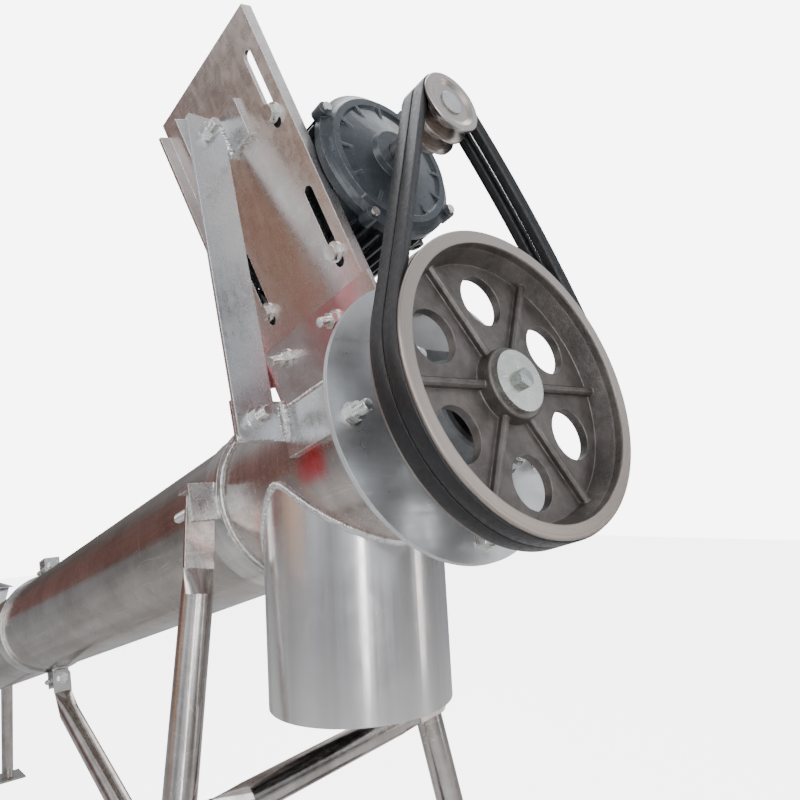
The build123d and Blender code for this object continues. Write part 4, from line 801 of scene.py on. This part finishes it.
arc(Vector((0, 0)), PULLEY_R, touch_near, touch_far, 150)
run(touch_far * PULLEY_R, small_at + touch_far * SMALL_R, touch_far, BELT_BOW, 60)
arc(small_at, SMALL_R, touch_far, touch_near, 40)
run(small_at + touch_near * SMALL_R, touch_near * PULLEY_R, touch_near, 0.0, 60)
points, faces, cut_edges = [], [], []
for middle in BELT_FRONTS:
    base, sides = len(points), len(belt_profile)
    for (far, high), spoke in belt_path:
        for across, out in belt_profile:
            points.append(at(middle + across, far + spoke.x * out, high + spoke.y * out))
    for step in range(len(belt_path)):
        for side in range(sides):
            next_side, next_step = (side + 1) % sides, (step + 1) % len(belt_path)
            a, b = base + step * sides + side, base + step * sides + next_side
            c, d = base + next_step * sides + side, base + next_step * sides + next_side
            faces.append((a, b, d, c))
            cut_edges.append(side in (0, 5))
belt_rubber = finish("wrapped_rubber", (0.017, 0.017, 0.019), (0.009, 0.009, 0.010), 0.40, metallic=0.0, lines=260,
                     cloud=0.02, specks=0.25, grain=2.0, grain_size=1500, line_depth=0.00010, edge=0.0006,
                     edge_colour=(0.12, 0.12, 0.12), scratches=0.1, streaking=0.2)
belt_edge = finish("rubbed_belt_edge", (0.075, 0.075, 0.08), (0.03, 0.03, 0.032), 0.55, metallic=0.0, lines=500,
                   cloud=0.008, specks=0.9, edge_colour=(0.3, 0.3, 0.3), grain=2.0, grain_size=2200, scratches=0.0)
belts = mesh_piece("v_belts", points, faces, belt_rubber)
belts.data.materials.append(belt_edge)
for face, cut in zip(belts.data.polygons, cut_edges):
    face.material_index = 1 if cut else 0
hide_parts("drive_belts")
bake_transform(belts)

# ---- legs, cross tie and rear strut ----
# 38 mm polished tube with its ends pressed flat and drilled; bright, with long reflections and
# crease marks where the round turns to the flat.
leg_finish = finish("polished_leg", (0.62, 0.585, 0.56), (0.36, 0.32, 0.30), 0.2, stretch=(1, 1, 0.03), lines=240,
                    cloud=0.05, specks=0.35, scratches=0.5, streaking=0.4, in_tube=False)
wear_finish(leg_finish, "leg_near", "leg_far", "cross_tie", "rear_strut", "stand_legs", "axle_tube")

# ---- axle and wheels ----
# Solid axle in a welded cross tube, held by collars and split pins; pressed and painted wheel
# centres under plain rubber tyres with a block tread.
wear_finish(zinc_finish, "axle_collars", "axle_pins")
rim_finish = finish("wheel_enamel", (0.52, 0.53, 0.54), (0.40, 0.41, 0.42), 0.38, metallic=0.0, lines=80, cloud=0.04,
                    edge_colour=(0.30, 0.22, 0.17), grain=0.8, line_depth=0.00006, scratches=0.3, in_tube=False)
wear_finish(rim_finish, "wheel_rim_near", "wheel_rim_far")
tyre_rubber = finish("tyre_rubber", (0.045, 0.043, 0.042), (0.02, 0.02, 0.021), 0.62, metallic=0.0, lines=60,
                     cloud=0.03, specks=0.5, grain=1.6, grain_size=700, line_depth=0.00014,
                     edge_colour=(0.12, 0.11, 0.10), edge=0.002, scratches=0.1, in_tube=False)
RIM_R = 92.3
TREAD_DEEP = 5.5
TREAD_FROM = 142
tyre_half = [(1.6, 150), (4, 150), (11, 150), (15, 149.6), (19, 148.4), (22, 146.5), (25, 143.5), (28, 139),
             (30.6, 130), (31, 120), (31, 106), (27, 98), (23, RIM_R)]
tyre_profile = [(-across, radius) for across, radius in reversed(tyre_half)] + [(0, 150)] + tyre_half
for side in ("near", "far"):
    low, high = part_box("wheel_tyre_" + side)
    hub = (low + high) / 2
    steps, sides, points, faces = 432, len(tyre_profile), [], []
    for step in range(steps):
        angle = 2 * pi * step / steps
        for across, radius in tyre_profile:
            if radius > TREAD_FROM:
                lag = step + int(abs(across) * 0.28)
                groove = lag % 18 < 4 or abs(across) < 1.8
                radius -= TREAD_DEEP if groove else 0
            points.append(hub + Vector((radius * cos(angle), across, radius * sin(angle))) * MM)
    for step in range(steps):
        for corner in range(sides):
            a, b = step * sides + corner, step * sides + (corner + 1) % sides
            c, d = (a + sides) % len(points), (b + sides) % len(points)
            faces.append((a, b, d, c))
    tyre = mesh_piece("tyre_" + side, points, faces, tyre_rubber)
    tyre.data.set_sharp_from_angle(angle=radians(38))
    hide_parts("wheel_tyre_" + side)
    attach(tyre, "wheel_" + side)

# ---- hopper and tail ----
# Folded 2 mm galvanised sheet, seam welded at the corners, saddled on the intake tube; a thick
# tail plate carries the lower bearing.
hopper_finish = finish("galvanised_sheet", (0.72, 0.73, 0.745), (0.53, 0.545, 0.565), 0.36, lines=90, cloud=0.05,
                       specks=0.2, scratches=0.5, streaking=0.2)
tree = hopper_finish.node_tree
spangle = put(tree, "ShaderNodeTexVoronoi", {"Vector": tree.nodes["place"].outputs[0], "Scale": 85.0})
flake = put(tree, "ShaderNodeSeparateColor", {0: spangle.outputs["Color"]})
for channel, start, end, strength, colour, rough in ((0, 0.2, 0.9, 0.4, (0.80, 0.82, 0.85), 0.24),
                                                     (1, 0.5, 0.95, 0.35, (0.50, 0.52, 0.55), 0.42)):
    overlay(hopper_finish, maths(tree, "MULTIPLY", rise(tree, flake.outputs[channel], start, end), strength),
            colour, rough)
wear_finish(hopper_finish, "feed_hopper")
wear_finish(disc_finish, "tail_plate")
THROAT_A = -2480.0
THROAT_HALF_LONG, THROAT_HALF_WIDE, THROAT_RISE = 110, 75, 128
RIM_BACK, RIM_RISE = 100, 270
RIM_HALF_LONG, RIM_HALF_WIDE = 0.150, 0.120
rim_middle = at(THROAT_A - RIM_BACK, 0, RIM_RISE)
for number, (fore, far) in enumerate(((1, 1), (1, -1), (-1, 1), (-1, -1))):
    low = at(THROAT_A + THROAT_HALF_LONG * fore, THROAT_HALF_WIDE * far, THROAT_RISE)
    high = rim_middle + Vector((RIM_HALF_LONG * fore, RIM_HALF_WIDE * far, 0))
    line = [low.lerp(high, step / 12) for step in range(13)]
    bead(f"hopper_corner_{number}", line, [Vector((fore, far, 0)).normalized()] * 13, 0.004, "frame", 95 + number, 0.6)
ring_bead("tail_weld", -2665.2, 111.0, 5.0, lean=0.7, seed=91)

# ---- tail stand ----
# Two tube legs on flat square feet, which hold the intake end off the ground.
foot_finish = finish("foot_plate", (0.55, 0.54, 0.53), (0.34, 0.33, 0.32), 0.38, lines=100, cloud=0.04, specks=0.3,
                     scratches=0.6, in_tube=False)
wear_finish(foot_finish, "stand_feet")

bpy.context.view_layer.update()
